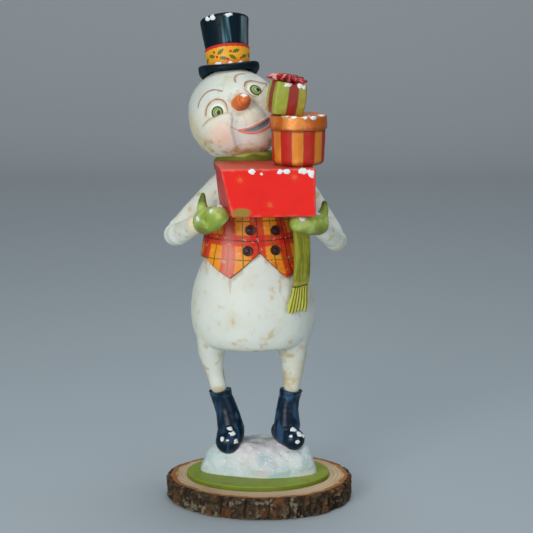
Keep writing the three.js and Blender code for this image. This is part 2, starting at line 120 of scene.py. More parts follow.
def lattice(cell: Array, seed: int) -> Array:
    """A fixed pseudo-random number from -1 to 1 for each whole-number cell.

    Args:
        cell: whole numbers, three to a row.
        seed: picks another set of numbers.

    Returns:
        One number per row.
    """
    n = cell.astype(np.int64).astype(np.uint64)
    x, y, z = (n * CELL_PRIMES).T
    mixed = ((x ^ y ^ z) + np.uint64(seed) * SEED_PRIME) * STIR_FIRST & WORD
    mixed = (mixed ^ (mixed >> np.uint64(15))) * STIR_LAST & WORD
    return (mixed >> np.uint64(8)).astype(float) / HALF_RANGE - 1.0


def noise(points: Array, scale: float, seed: int = 0, octaves: int = 3) -> Array:
    """Value noise: smoothly blended lattice numbers, with halved octaves added.

    Args:
        points: where to read it, in millimetres.
        scale: cells per millimetre of the first octave.
        seed: picks another noise.
        octaves: how many finer layers are added.

    Returns:
        A number from about -1 to 1 for each point.
    """
    total = np.zeros(len(points))
    for octave in range(octaves):
        place = points * scale * 2.0**octave + NOISE_START
        cell = np.floor(place)
        w = place - cell
        w = w * w * (3.0 - 2.0 * w)
        value = np.zeros(len(points))
        for corner in np.ndindex(2, 2, 2):
            share = np.prod(np.where(np.array(corner) == 1, w, 1.0 - w), axis=1)
            value += share * lattice(cell + np.array(corner), seed + octave)
        total += value * 0.5**octave
    return total


def turn_about(axis: str, degrees: float) -> Array:
    """The 3 by 3 matrix of a right-handed turn about an axis.

    Args:
        axis: "x", "y" or "z".
        degrees: how far.

    Returns:
        The matrix.
    """
    c, s = np.cos(np.radians(degrees)), np.sin(np.radians(degrees))
    rows = {
        "x": [[1, 0, 0], [0, c, -s], [0, s, c]],
        "y": [[c, 0, s], [0, 1, 0], [-s, 0, c]],
        "z": [[c, -s, 0], [s, c, 0], [0, 0, 1]],
    }
    return np.array(rows[axis], dtype=float)


def turn_to(direction: Array) -> Array:
    """A turn that carries +Z onto a direction and keeps X level.

    Args:
        direction: a vector of any length.

    Returns:
        A 3 by 3 matrix.
    """
    z = direction / np.linalg.norm(direction)
    x = np.cross([0.0, 0.0, 1.0] if abs(z[2]) < 0.95 else [0.0, 1.0, 0.0], z)
    x /= np.linalg.norm(x)
    return np.stack([x, np.cross(z, x), z], axis=1)


def path_distance(points: Array, path: Array) -> Array:
    """The distance from each point to a line of short straight pieces.

    Args:
        points: where to measure from.
        path: the line's corners, in order.

    Returns:
        One distance per point.
    """
    best = np.full(len(points), np.inf)
    for a, b in zip(path[:-1], path[1:]):
        run = b - a
        share = np.clip((points - a) @ run / max(float(run @ run), 1e-12), 0.0, 1.0)
        best = np.minimum(best, np.linalg.norm(points - a - share[:, None] * run, axis=1))
    return best


# Meshes


@dataclass
class Surface:
    """A mesh in millimetres: points, quads, triangles, and fields on the points."""

    points: Array
    quads: Array
    tris: Array
    fields: dict[str, Array] = field(default_factory=dict)

    def triangles(self) -> Array:
        """All faces as triangles."""
        return np.concatenate([self.quads[:, [0, 1, 2]], self.quads[:, [0, 2, 3]], self.tris])

    def outward(self) -> "Surface":
        """Turns the faces round if they enclose a negative volume.

        Returns:
            The same surface.
        """
        a, b, c = (self.points[self.triangles()[:, k]] for k in range(3))
        if np.einsum("ij,ij->", a, np.cross(b, c)) < 0.0:
            self.quads, self.tris = self.quads[:, ::-1], self.tris[:, ::-1]
        return self

    def normals(self) -> Array:
        """Area-weighted unit normals at the points.

        Returns:
            One normal per point.
        """
        faces = self.triangles()
        a, b, c = (self.points[faces[:, k]] for k in range(3))
        across = np.cross(b - a, c - a)
        total = np.zeros_like(self.points)
        for k in range(3):
            np.add.at(total, faces[:, k], across)
        return total / np.maximum(np.linalg.norm(total, axis=1), 1e-12)[:, None]

    def placed(self, turn: Array, offset: Sequence[float]) -> "Surface":
        """The surface turned about the origin and then moved."""
        return Surface(self.points @ turn.T + np.asarray(offset), self.quads, self.tris, self.fields)

    def swell(self, amount: Array) -> "Surface":
        """Moves each point out along its normal by an amount, and gives the same surface back."""
        self.points = self.points + self.normals() * amount[:, None]
        return self


def skin(rings: Array, looped: bool = False) -> Surface:
    """A closed surface over a grid of rings.

    Args:
        rings: points by ring and by place round the ring.
        looped: the last ring joins the first; otherwise both ends close on their rings' centres.

    Returns:
        The surface, with its faces outward.
    """
    count, around = rings.shape[:2]
    ring, place = np.meshgrid(np.arange(count if looped else count - 1), np.arange(around), indexing="ij")
    after, beside = (ring + 1) % count, (place + 1) % around
    corners = (ring * around + place, after * around + place, after * around + beside, ring * around + beside)
    quads = np.stack(corners, axis=-1).reshape(-1, 4)
    points = rings.reshape(-1, 3)
    if looped:
        return Surface(points, quads, NO_TRIS).outward()
    ends = np.stack([rings[0].mean(axis=0), rings[-1].mean(axis=0)])
    here = np.arange(around)
    beside, base = (here + 1) % around, (count - 1) * around
    first = np.stack([np.full(around, len(points)), here, beside], axis=1)
    last = np.stack([np.full(around, len(points) + 1), base + beside, base + here], axis=1)
    return Surface(np.concatenate([points, ends]), quads, np.concatenate([first, last])).outward()


def merged(surfaces: Sequence[Surface]) -> Surface:
    """Several surfaces as one mesh; fields that all of them have are kept.

    Args:
        surfaces: the meshes to put side by side.

    Returns:
        The joint mesh.
    """
    offsets = np.cumsum([0] + [len(s.points) for s in surfaces])
    quads = np.concatenate([s.quads + o for s, o in zip(surfaces, offsets)])
    tris = np.concatenate([s.tris + o for s, o in zip(surfaces, offsets)])
    names = set.intersection(*(set(s.fields) for s in surfaces))
    fields = {n: np.concatenate([s.fields[n] for s in surfaces]) for n in sorted(names)}
    return Surface(np.concatenate([s.points for s in surfaces]), quads, tris, fields)


def lathe(profile: Array, around: int, looped: bool = False) -> Surface:
    """A profile of [radius, height] carried round Z.

    Args:
        profile: rows of radius and height.
        around: points round each ring.
        looped: the profile closes on itself.

    Returns:
        The surface.
    """
    angle = np.linspace(0.0, TURN, around, endpoint=False)
    r, z = profile[:, :1], np.repeat(profile[:, 1:], around, axis=1)
    return skin(np.stack([r * np.cos(angle), r * np.sin(angle), z], axis=-1), looped)


def arc(centre: Place, radius: float, start: float, end: float, steps: int = 6) -> Array:
    """Profile points on a circle, from one angle in degrees to another.

    Args:
        centre: the circle's centre, as radius and height.
        radius: the circle's radius.
        start: the first angle.
        end: the last angle.
        steps: how many runs between them.

    Returns:
        Rows of radius and height.
    """
    angle = np.radians(np.linspace(start, end, steps + 1))
    return np.stack([centre[0] + radius * np.cos(angle), centre[1] + radius * np.sin(angle)], axis=1)


def dense(corners: Rows, step: float) -> Array:
    """A profile with extra points so that none of its runs is longer than a step.

    Args:
        corners: the profile's corners.
        step: the longest run.

    Returns:
        The finer profile.
    """
    rows = np.asarray(corners, dtype=float)
    parts = [rows[:1]]
    for a, b in zip(rows[:-1], rows[1:]):
        count = max(1, int(np.ceil(np.linalg.norm(b - a) / step)))
        parts.append(a + (b - a) * np.linspace(0.0, 1.0, count + 1)[1:, None])
    return np.concatenate(parts)


def limb(stations: Sequence[Station], around: int = 40, steps: int = 50, start_dome: float = 1.0) -> Surface:
    """A round skin carried along a curve, with domed ends.

    Each ring is centre + r (cos a across + sin a upward), the centre and r following a spline
    through the stations; over a dome the ring shrinks as cos b while its centre moves by r sin b.

    Args:
        stations: x, y, z and radius along the curve.
        around: points round each ring.
        steps: rings along the curve.
        start_dome: 1 for a round start, 0 for a flat one.

    Returns:
        The surface, with the field "to_end" in millimetres along the curve.
    """
    dome = np.radians(np.linspace(4.0, 84.0, 9))
    t = np.concatenate([np.zeros_like(dome), np.linspace(0.0, 1.0, steps), np.ones_like(dome)])
    bend = np.concatenate([dome - np.pi / 2.0, np.zeros(steps), dome])
    rows = spline(stations, t)
    centre, radius = rows[:, :3], rows[:, 3:]
    along = spline(stations, t + 1e-3)[:, :3] - spline(stations, t - 1e-3)[:, :3]
    along /= np.linalg.norm(along, axis=1)[:, None]
    across = np.cross(along, LIMB_UP)
    across /= np.linalg.norm(across, axis=1)[:, None]
    upward = np.cross(across, along)
    push = np.sin(bend) * np.where(bend < 0.0, start_dome, 1.0)
    centre = centre + along * radius * push[:, None]
    angle = np.linspace(0.0, TURN, around, endpoint=False)
    out = np.cos(angle)[None, :, None] * across[:, None] + np.sin(angle)[None, :, None] * upward[:, None]
    made = skin(centre[:, None] + out * (radius * np.cos(bend)[:, None])[:, None])
    length = np.linalg.norm(np.diff(spline(stations, np.linspace(0, 1, 60))[:, :3], axis=0), axis=1).sum()
    made.fields["to_end"] = np.append(np.repeat((1.0 - t) * length, around), [length, 0.0])
    return made


def fused(surfaces: Sequence[Surface], voxel: float, relax: int) -> Surface:
    """Melts overlapping surfaces into one skin on a fine grid and irons it.

    Ironing moves every point towards the mean of its neighbours, then a little back out
    (shares 0.5 and -0.52), so steps vanish and the volume stays.

    Args:
        surfaces: closed surfaces that overlap.
        voxel: the grid's pitch in millimetres.
        relax: how many times it is ironed.

    Returns:
        One closed surface.
    """
    mould = make_object("mould", merged(surfaces))
    grid = mould.modifiers.new("grid", "REMESH")
    grid.mode = "VOXEL"
    grid.voxel_size = voxel * MM
    made = mould.evaluated_get(bpy.context.evaluated_depsgraph_get()).to_mesh()
    points = np.empty(len(made.vertices) * 3)
    made.vertices.foreach_get("co", points)
    corners = np.empty(len(made.loops), dtype=np.int64)
    made.loops.foreach_get("vertex_index", corners)
    totals = np.empty(len(made.polygons), dtype=np.int64)
    made.polygons.foreach_get("loop_total", totals)
    starts = np.cumsum(totals) - totals
    quads, tris = (corners[starts[totals == n][:, None] + np.arange(n)] for n in (4, 3))
    points = points.reshape(-1, 3) / MM
    bpy.data.objects.remove(mould)
    edges = np.concatenate([quads[:, [0, 1]], quads[:, [1, 2]], quads[:, [2, 3]], quads[:, [3, 0]]])
    edges = np.concatenate([edges, edges[:, ::-1]])
    valence = np.maximum(np.bincount(edges[:, 0], minlength=len(points)), 1)[:, None]
    for share in np.tile([0.5, -0.52], relax):
        sums = [np.bincount(edges[:, 0], points[edges[:, 1], k], len(points)) for k in range(3)]
        points = points + share * (np.stack(sums, axis=1) / valence - points)
    return Surface(points, quads, tris).outward()


def rounded_box(size: Spot, edge: float, step: float) -> Surface:
    """A box with rounded edges, its underside on z = 0.

    Each of the six sides is a grid; a grid point q goes to c + edge * (q - c) / |q - c|,
    where c is q held inside the box that is smaller by the edge's radius.

    Args:
        size: width, depth and height.
        edge: the radius of the edges.
        step: the grid's pitch in the middle of a side.

    Returns:
        The box, its sides joined at the shared points.
    """
    half = np.asarray(size) / 2.0
    parts = []
    for axis, sign in ((a, s) for a in range(3) for s in (-1.0, 1.0)):
        ticks = []
        for other in ((axis + 1) % 3, (axis + 2) % 3):
            round_part = half[other] - edge * (1.0 - np.tan(np.radians(np.linspace(45.0, 0.0, 5))[:-1]))
            flat = np.linspace(0, half[other] - edge, max(3, int((half[other] - edge) / step)))
            ticks.append(np.concatenate([-round_part, -flat[::-1], flat[1:], round_part[::-1]]))
        p, q = np.meshgrid(*ticks, indexing="ij")
        grid = np.empty(p.shape + (3,))
        grid[..., axis], grid[..., (axis + 1) % 3], grid[..., (axis + 2) % 3] = sign * half[axis], p, q
        i, j = np.meshgrid(np.arange(p.shape[0] - 1), np.arange(p.shape[1] - 1), indexing="ij")
        base, row = i * p.shape[1] + j, p.shape[1]
        quads = np.stack([base, base + row, base + row + 1, base + 1], axis=-1).reshape(-1, 4)
        parts.append(Surface(grid.reshape(-1, 3), quads if sign > 0 else quads[:, ::-1], NO_TRIS))
    whole = merged(parts)
    held = np.clip(whole.points, edge - half, half - edge)
    away = whole.points - held
    points = held + edge * away / np.linalg.norm(away, axis=1)[:, None]
    _, keep, place = np.unique(np.round(points, 4), axis=0, return_index=True, return_inverse=True)
    return Surface(points[keep] + [0, 0, half[2]], place.reshape(-1)[whole.quads], whole.tris).outward()


def make_object(name: str, surface: Surface) -> bpy.types.Object:
    """Puts a surface into a smooth-shaded mesh object at the origin.

    Args:
        name: the object's name.
        surface: the mesh in millimetres; its fields become point attributes.

    Returns:
        The linked object.
    """
    mesh = bpy.data.meshes.new(name)
    totals = np.concatenate([np.full(len(surface.quads), 4), np.full(len(surface.tris), 3)])
    corners = np.concatenate([surface.quads.reshape(-1), surface.tris.reshape(-1)]).astype(np.int32)
    mesh.vertices.add(len(surface.points))
    mesh.vertices.foreach_set("co", (surface.points * MM).astype(np.float32).reshape(-1))
    mesh.loops.add(len(corners))
    mesh.loops.foreach_set("vertex_index", corners)
    mesh.polygons.add(len(totals))
    mesh.polygons.foreach_set("loop_start", (np.cumsum(totals) - totals).astype(np.int32))
    mesh.polygons.foreach_set("use_smooth", np.ones(len(totals), dtype=bool))
    mesh.update(calc_edges=True)
    mesh.validate()
    for key, values in surface.fields.items():
        mesh.attributes.new(key, "FLOAT", "POINT").data.foreach_set("value", values.astype(np.float32))
    made = bpy.data.objects.new(name, mesh)
    bpy.context.scene.collection.objects.link(made)
    return made


# Finishes


@dataclass(frozen=True)
class Mark:
    """A painted mark: a field, its colour, how soft its edge is, and how well it covers."""

    field: str
    color: Color
    blur: float = 0.12
    cover: float = 1.0


@dataclass(frozen=True)
class Stain:
    """A cloudy wash: colour, cells per metre, and the noise values between which it comes up."""

    color: Color
    scale: float
    low: float = 0.5
    high: float = 0.7
    cover: float = 0.5


@dataclass(frozen=True)
class Paint:
    """A finish: a ground colour under stains, marks and a last wash, and its gloss."""

    name: str
    color: Color
    roughness: float = 0.5
    metallic: float = 0.0
    coat: float = 0.0
    shine: float = 0.35
    stains: tuple[Stain, ...] = ()
    marks: tuple[Mark, ...] = ()
    wash: tuple[Stain, ...] = ()
    brush: float = 0.0

    def material(self) -> bpy.types.Material:
        """Builds the shader: mixes the layers over the ground, in order.

        Returns:
            The material.
        """
        made = bpy.data.materials.new(self.name)
        made.use_nodes = True
        tree = made.node_tree
        shader = tree.nodes["Principled BSDF"]
        shader.inputs["Roughness"].default_value = self.roughness
        shader.inputs["Metallic"].default_value = self.metallic
        shader.inputs["Specular IOR Level"].default_value = self.shine
        shader.inputs["Coat Weight"].default_value = self.coat
        shader.inputs["Coat Roughness"].default_value = COAT_ROUGHNESS
        shader.inputs["Base Color"].default_value = (*self.color, 1.0)
        layers = [self._cloud(tree, s) for s in self.stains]
        layers += [self._mark(tree, m) for m in self.marks]
        layers += [self._cloud(tree, s) for s in self.wash]
        under: Socket | None = None
        for factor, color in layers:
            mix = tree.nodes.new("ShaderNodeMix")
            mix.data_type = "RGBA"
            mix.inputs["A"].default_value = (*self.color, 1.0)
            mix.inputs["B"].default_value = (*color, 1.0)
            tree.links.new(factor, mix.inputs["Factor"])
            if under is not None:
                tree.links.new(under, mix.inputs["A"])
            under = mix.outputs["Result"]
        if under is not None:
            tree.links.new(under, shader.inputs["Base Color"])
        if self.brush > 0.0:
            self._brush(tree, shader)
        return made

    @staticmethod
    def _noise(tree: Tree, scale: float) -> Socket:
        """A noise texture on Object coordinates.

        Args:
            tree: the material's nodes.
            scale: cells per metre.

        Returns:
            The socket with the noise.
        """
        place = tree.nodes.new("ShaderNodeTexCoord")
        cloud = tree.nodes.new("ShaderNodeTexNoise")
        cloud.inputs["Scale"].default_value = scale
        cloud.inputs["Detail"].default_value = CLOUD_DETAIL
        tree.links.new(place.outputs["Object"], cloud.inputs["Vector"])
        return cloud.outputs["Fac"]

    @staticmethod
    def _step(tree: Tree, value: Socket, low: float, high: float, top: float) -> Socket:
        """A smooth step from 0 at low to top at high.

        Args:
            tree: the material's nodes.
            value: the socket to read.
            low: where the step starts.
            high: where it ends.
            top: how high it goes.

        Returns:
            The socket with the step.
        """
        ramp = tree.nodes.new("ShaderNodeMapRange")
        ramp.interpolation_type = "SMOOTHSTEP"
        ramp.inputs["From Min"].default_value = low
        ramp.inputs["From Max"].default_value = high
        ramp.inputs["To Max"].default_value = top
        tree.links.new(value, ramp.inputs["Value"])
        return ramp.outputs["Result"]

    def _cloud(self, tree: Tree, stain: Stain) -> tuple[Socket, Color]:
        """The factor and colour of a stain."""
        cloud = self._noise(tree, stain.scale)
        return self._step(tree, cloud, stain.low, stain.high, stain.cover), stain.color

    def _mark(self, tree: Tree, mark: Mark) -> tuple[Socket, Color]:
        """The factor and colour of a mark: its field crossing 0 within its blur.

        Args:
            tree: the material's nodes.
            mark: the mark to lay on.

        Returns:
            The mix's factor and the mark's colour.
        """
        read = tree.nodes.new("ShaderNodeAttribute")
        read.attribute_name = mark.field
        return self._step(tree, read.outputs["Fac"], -mark.blur, mark.blur, mark.cover), mark.color

    def _brush(self, tree: Tree, shader: bpy.types.Node) -> None:
        """Adds the fine unevenness of brushed paint.

        Args:
            tree: the material's nodes.
            shader: the node that gets the bump.
        """
        bump = tree.nodes.new("ShaderNodeBump")
        bump.inputs["Strength"].default_value = self.brush
        bump.inputs["Distance"].default_value = BRUSH_DEPTH * MM
        tree.links.new(self._noise(tree, BRUSH_CELLS), bump.inputs["Height"])
        tree.links.new(bump.outputs["Normal"], shader.inputs["Normal"])


@dataclass(frozen=True)
class Dab:
    """A dab of thick snow paint: where it is, its half sizes along X, Y and Z, and how far it stands out."""

    at: Spot
    half: Spot
    tall: float = 0.5

    def inside(self, points: Array) -> Array:
        """Millimetres inside the dab's uneven edge, an oval ball cut by the piece's skin."""
        apart = np.linalg.norm((points - np.asarray(self.at)) / np.asarray(self.half), axis=1)
        return (1.0 - apart) * min(self.half) + 0.45 * noise(points, 0.8, 111, 2)


def snowed(surface: Surface, dabs: Sequence[Dab]) -> Surface:
    """Raises the dabs on a piece: every point moves out by tall times a smooth step of the depth inside.

    Args:
        surface: the piece.
        dabs: its dabs.

    Returns:
        The piece with the field "snow".
    """
    field_of = [dab.inside(surface.points) for dab in dabs]
    lift = np.max([dab.tall * smooth(-0.15, 0.55, f) for dab, f in zip(dabs, field_of)], axis=0)
    surface.fields["snow"] = np.max(field_of, axis=0)
    return surface.swell(lift)


class Wardrobe:
    """Keeps one material per finish and puts finished pieces into the frame."""

    def __init__(self) -> None:
        """Starts with no materials."""
        self.made: dict[str, bpy.types.Material] = {}

    def dress(self, name: str, surface: Surface, paint: Paint, dabs: Sequence[Dab] = ()) -> None:
        """Makes a piece, paints it and sets it on the figurine in place of the solid with its name.

        Args:
            name: the piece's name, also its solid's.
            surface: its mesh.
            paint: its finish; a mark whose field the mesh lacks stays off.
            dabs: the snow paint on it.
        """
        if dabs:
            surface = snowed(surface, dabs)
        for mark in paint.marks:
            surface.fields.setdefault(mark.field, np.full(len(surface.points), OFF))
        piece = make_object(name, surface)
        if paint.name not in self.made:
            self.made[paint.name] = paint.material()
        piece.data.materials.append(self.made[paint.name])
        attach(piece, "root")
        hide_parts(name)
        LOG.info("%s: %d points", name, len(surface.points))


SNOW_MARK = Mark("snow", (0.80, 0.84, 0.84), 0.16)
NAVY = (0.003, 0.012, 0.02)


# The base


@dataclass
class BranchSlice:
    """The slice of a branch: bark round it, pale wood on top."""

    half_width: float = 50.7
    half_depth: float = 47.0
    thickness: float = 12.0
    around: int = 900

    def surface(self) -> Surface:
        """Carries one outline through rows of [share, height].

        The outline is an ellipse times 1 + three slow cosines of the angle. On the side the radius loses
        1.7 bell(n / 0.1) along the lines where a noise n, drawn out along Z, crosses 0: the bark's cracks.

        Returns:
            The slice with fields for bark, inner bark, year rings, a painted highlight on the bark's raised
            ridges and the bark's other colours.
        """
        angle = np.linspace(0.0, TURN, self.around, endpoint=False)
        uneven = 1.0 + 0.012 * np.cos(2 * angle + 0.45) + 0.012 * np.cos(3 * angle + 3.8)
        uneven = uneven + 0.006 * np.cos(5 * angle + 4.3)
        side, top = 38, 48
        share = np.concatenate([np.linspace(0.02, 0.97, 8), [0.985], np.ones(side), [0.988]])
        share = np.concatenate([share, 1.0 - 0.028 * np.linspace(1.0, 5.9, top) ** 2.0])
        level = np.linspace(0.7, self.thickness - 0.7, side)
        rows = [np.zeros(8), [0.25], level, [self.thickness - 0.25], np.full(top, self.thickness)]
        z = np.concatenate(rows)
        rough = np.concatenate([np.zeros(7), [0.2, 0.5], np.ones(side), [0.6, 0.25], np.zeros(top - 1)])
        outline = np.stack([self.half_width * uneven - 1.0, self.half_depth * uneven - 1.0], axis=1)
        flat = outline * np.stack([np.cos(angle), np.sin(angle)], axis=1)
        heights = np.broadcast_to(z[:, None, None], (len(z), self.around, 1))
        rings = np.concatenate([share[:, None, None] * flat, heights], axis=2)
        points = rings.reshape(-1, 3)
        weight = np.repeat(rough, self.around)
        upright = noise(points * [1.0, 1.0, 0.22], 0.17, 3, 3)
        level_cracks = noise(points * [0.6, 0.6, 1.2], 0.2, 13, 3)
        flakes = noise(points, 0.55, 8, 3)
        bark = 0.55 - 1.7 * bell(upright, 0.1) - 0.8 * bell(level_cracks, 0.07) + 0.6 * flakes
        out = points[:, :2] / np.linalg.norm(points[:, :2], axis=1)[:, None]
        points[:, :2] += out * np.clip(bark * weight, -2.2, 1.0)[:, None]
        sawn = (weight < 0.1) & (points[:, 2] > 6.0)
        points[:, 2] += np.where(sawn, 0.05 * noise(points * [1, 6, 1], 0.4, 5, 2) - 0.05, 0.0)
        made = skin(points.reshape(rings.shape))
        f, p = made.fields, made.points
        mean = np.tile(outline.mean(axis=1), len(share))
        to_rim = np.append(mean * (1.0 - np.repeat(share, self.around)), [47.0, 47.0])
        wobble = 0.6 * noise(p, 0.25, 6, 3)
        bark, flakes = np.append(bark, [0.0, 0.0]), np.append(flakes, [0.0, 0.0])
        f["bark"] = 1.4 - to_rim + wobble
        f["bast"] = 3.9 - to_rim + wobble * 1.8
        f["heart"] = to_rim - 6.5 + 2.0 * noise(p, 0.06, 10, 3)
        f["rings"] = 0.5 * np.sin(to_rim * 3.0 + 3.0 * noise(p, 0.06, 9, 2)) - 0.25
        on_side = np.append(weight > 0.15, [False, False])
        # painted highlight: the bark's raised ridges are paler, the furrows stay dark
        f["ridge"] = np.where(on_side, bark - 0.45, OFF)
        f["rust"] = np.where(on_side, 1.6 * noise(p * [1, 1, 0.6], 0.2, 15, 3) - 0.55, OFF)
        f["lichen"] = np.where(on_side, flakes + 0.8 * noise(p, 0.12, 16, 2) - 0.75, OFF)
        return made

    def build(self, wardrobe: Wardrobe) -> None:
        """Makes the slice and gives it wood and bark.

        Args:
            wardrobe: dresses the piece.
        """
        paint = Paint(
            "bark and wood", (0.63, 0.47, 0.29), 0.85, shine=0.15, brush=0.6,
            stains=(Stain((0.42, 0.28, 0.15), 60.0, 0.45, 0.7, 0.5),),
            marks=(
                Mark("heart", (0.74, 0.61, 0.42), 3.0, 0.6), Mark("rings", (0.32, 0.20, 0.09), 0.4, 0.6),
                Mark("bast", (0.33, 0.12, 0.035), 0.6, 0.9), Mark("bark", (0.03, 0.02, 0.012), 0.4),
                # ridge: painted highlight on the raised bark
                Mark("ridge", (0.085, 0.06, 0.035), 0.5, 0.85), Mark("rust", (0.15, 0.06, 0.022), 0.5, 0.7),
                Mark("lichen", (0.24, 0.22, 0.15), 0.35, 0.6),
            ),
        )
        wardrobe.dress("wood_slice", self.surface(), paint)


@dataclass
class Ground:
    """The green oval foot and the mound of snow on it."""

    foot_x: float = -1.2
    foot_half: Place = (39.3, 33.0)
    foot_base: float = 12.0
    foot_top: float = 14.6
    rounding: float = 0.8
    mound_centre: Place = (-1.6, 2.5)
    mound_half: Place = (31.8, 18.5)
    mound_height: float = 17.0
    mound_turn: float = -10.0
    mound_sink: float = 0.4

    def foot(self) -> Surface:
        """A disc with rounded edges, stretched into an oval; the edge wanders by a slow noise.

        Returns:
            The foot, with fields for its top and its worn rim.
        """
        low, high, r = self.foot_base, self.foot_top, self.rounding
        profile = [[0.5, low], [self.foot_half[0] - r, low]]
        profile += arc((self.foot_half[0] - r, low + r), r, -90, 0).tolist()
        profile += arc((self.foot_half[0] - r, high - r), r, 0, 90).tolist() + [[0.5, high]]
        made = lathe(dense(profile, 0.8), 260)
        edge = smooth(0.6, 1.0, np.linalg.norm(made.points[:, :2], axis=1) / self.foot_half[0])
        made.points[:, :2] *= (1.0 + 0.006 * edge * noise(made.points * [1, 1, 0], 0.07, 2, 2))[:, None]
        made.points *= [1.0, self.foot_half[1] / self.foot_half[0], 1.0]
        made.points += [self.foot_x, 0.0, 0.0]
        p = made.points
        # painted highlight: the top face is painted a lighter green than the side
        made.fields["top"] = p[:, 2] - high + 0.35
        made.fields["rim"] = 0.9 * noise(p, 0.25, 3, 3) - 0.25 - np.abs(p[:, 2] - high + 0.5)
        return made

    def mound(self) -> Surface:
        """A blunt dome over a wavy oval.

        At share s of the way out, the height is h (1 - s^5)^0.58 times a slow lean of the angle;
        noise adds lumps of about a millimetre.

        Returns:
            The mound, with fields for a blue painted shade meant for its hollows, its pink blush and a trace
            of earth.
        """
        angle = np.linspace(0.0, TURN, 300, endpoint=False)
        edge = 1.0 + 0.035 * np.cos(3 * angle + 1.0) + 0.03 * np.cos(5 * angle + 0.3)
        up = np.linspace(0.0, 0.995, 110)
        s = np.concatenate([np.linspace(0.02, 0.99, 12), np.cos(up * np.pi / 2.0) ** 0.7])[:, None]
        lean = 1.0 + s * (0.05 * np.sin(2 * angle + 0.8) + 0.04 * np.sin(3 * angle + 2.1))
        rise = self.mound_height * np.maximum(1.0 - s**5, 0.0) ** 0.58 * lean
        rise[:12] = 0.0
        x, y = self.mound_half[0] * s * edge * np.cos(angle), self.mound_half[1] * s * edge * np.sin(angle)
        made = skin(np.stack([x, y, rise], axis=-1))
        lumps = 1.8 * noise(made.points, 0.085, 4, 3) + 0.12 * noise(made.points, 0.9, 7, 2)
        grow = smooth(0.0, 6.0, made.points[:, 2])
        made.swell(lumps * grow)
        made.points[:, 2] = np.maximum(made.points[:, 2], 0.0)
        seat = (*self.mound_centre, self.foot_top - self.mound_sink)
        made = made.placed(turn_about("z", self.mound_turn), seat)
        f, p = made.fields, made.points
        # painted shade: blue where a noise of the lumps' scale and seed dips, meant for the hollows
        f["hollow"] = -1.4 * noise(p, 0.085, 4, 4) - 0.1
        f["blush"] = 1.4 * noise(p, 0.07, 18, 3) - 0.35
        f["earth"] = 1.6 * noise(p, 0.2, 19, 3) - 1.15
        return made

    def build(self, wardrobe: Wardrobe) -> None:
        """Makes the foot and the mound.

        Args:
            wardrobe: dresses the pieces.
        """
        green = Paint(
            "foot green", (0.14, 0.195, 0.013), 0.5, coat=0.05, shine=0.2, brush=0.5,
            stains=(
                Stain((0.21, 0.25, 0.05), 70.0, 0.5, 0.72, 0.55),
                Stain((0.05, 0.075, 0.008), 120.0, 0.55, 0.75, 0.6),
            ),
            # top: painted highlight, a lighter green over the top face
            marks=(Mark("top", (0.29, 0.39, 0.032), 0.3, 0.8), Mark("rim", (0.24, 0.19, 0.04), 0.5, 0.5)),
            wash=(Stain((0.12, 0.16, 0.014), 130.0, 0.52, 0.72, 0.45),),
        )
        snow = Paint(
            "mound snow", (0.66, 0.71, 0.71), 0.5, brush=0.9,
            marks=(
                # hollow: blue painted shade
                Mark("hollow", (0.36, 0.56, 0.58), 0.9, 0.75), Mark("blush", (0.74, 0.65, 0.68), 0.7, 0.65),
                Mark("earth", (0.50, 0.40, 0.22), 0.4, 0.35),
            ),
            wash=(Stain((0.9, 0.92, 0.92), 800.0, 0.6, 0.68, 0.7),),
        )
        wardrobe.dress("plinth", self.foot(), green)
        wardrobe.dress("snow_mound", self.mound(), snow)


# The figure


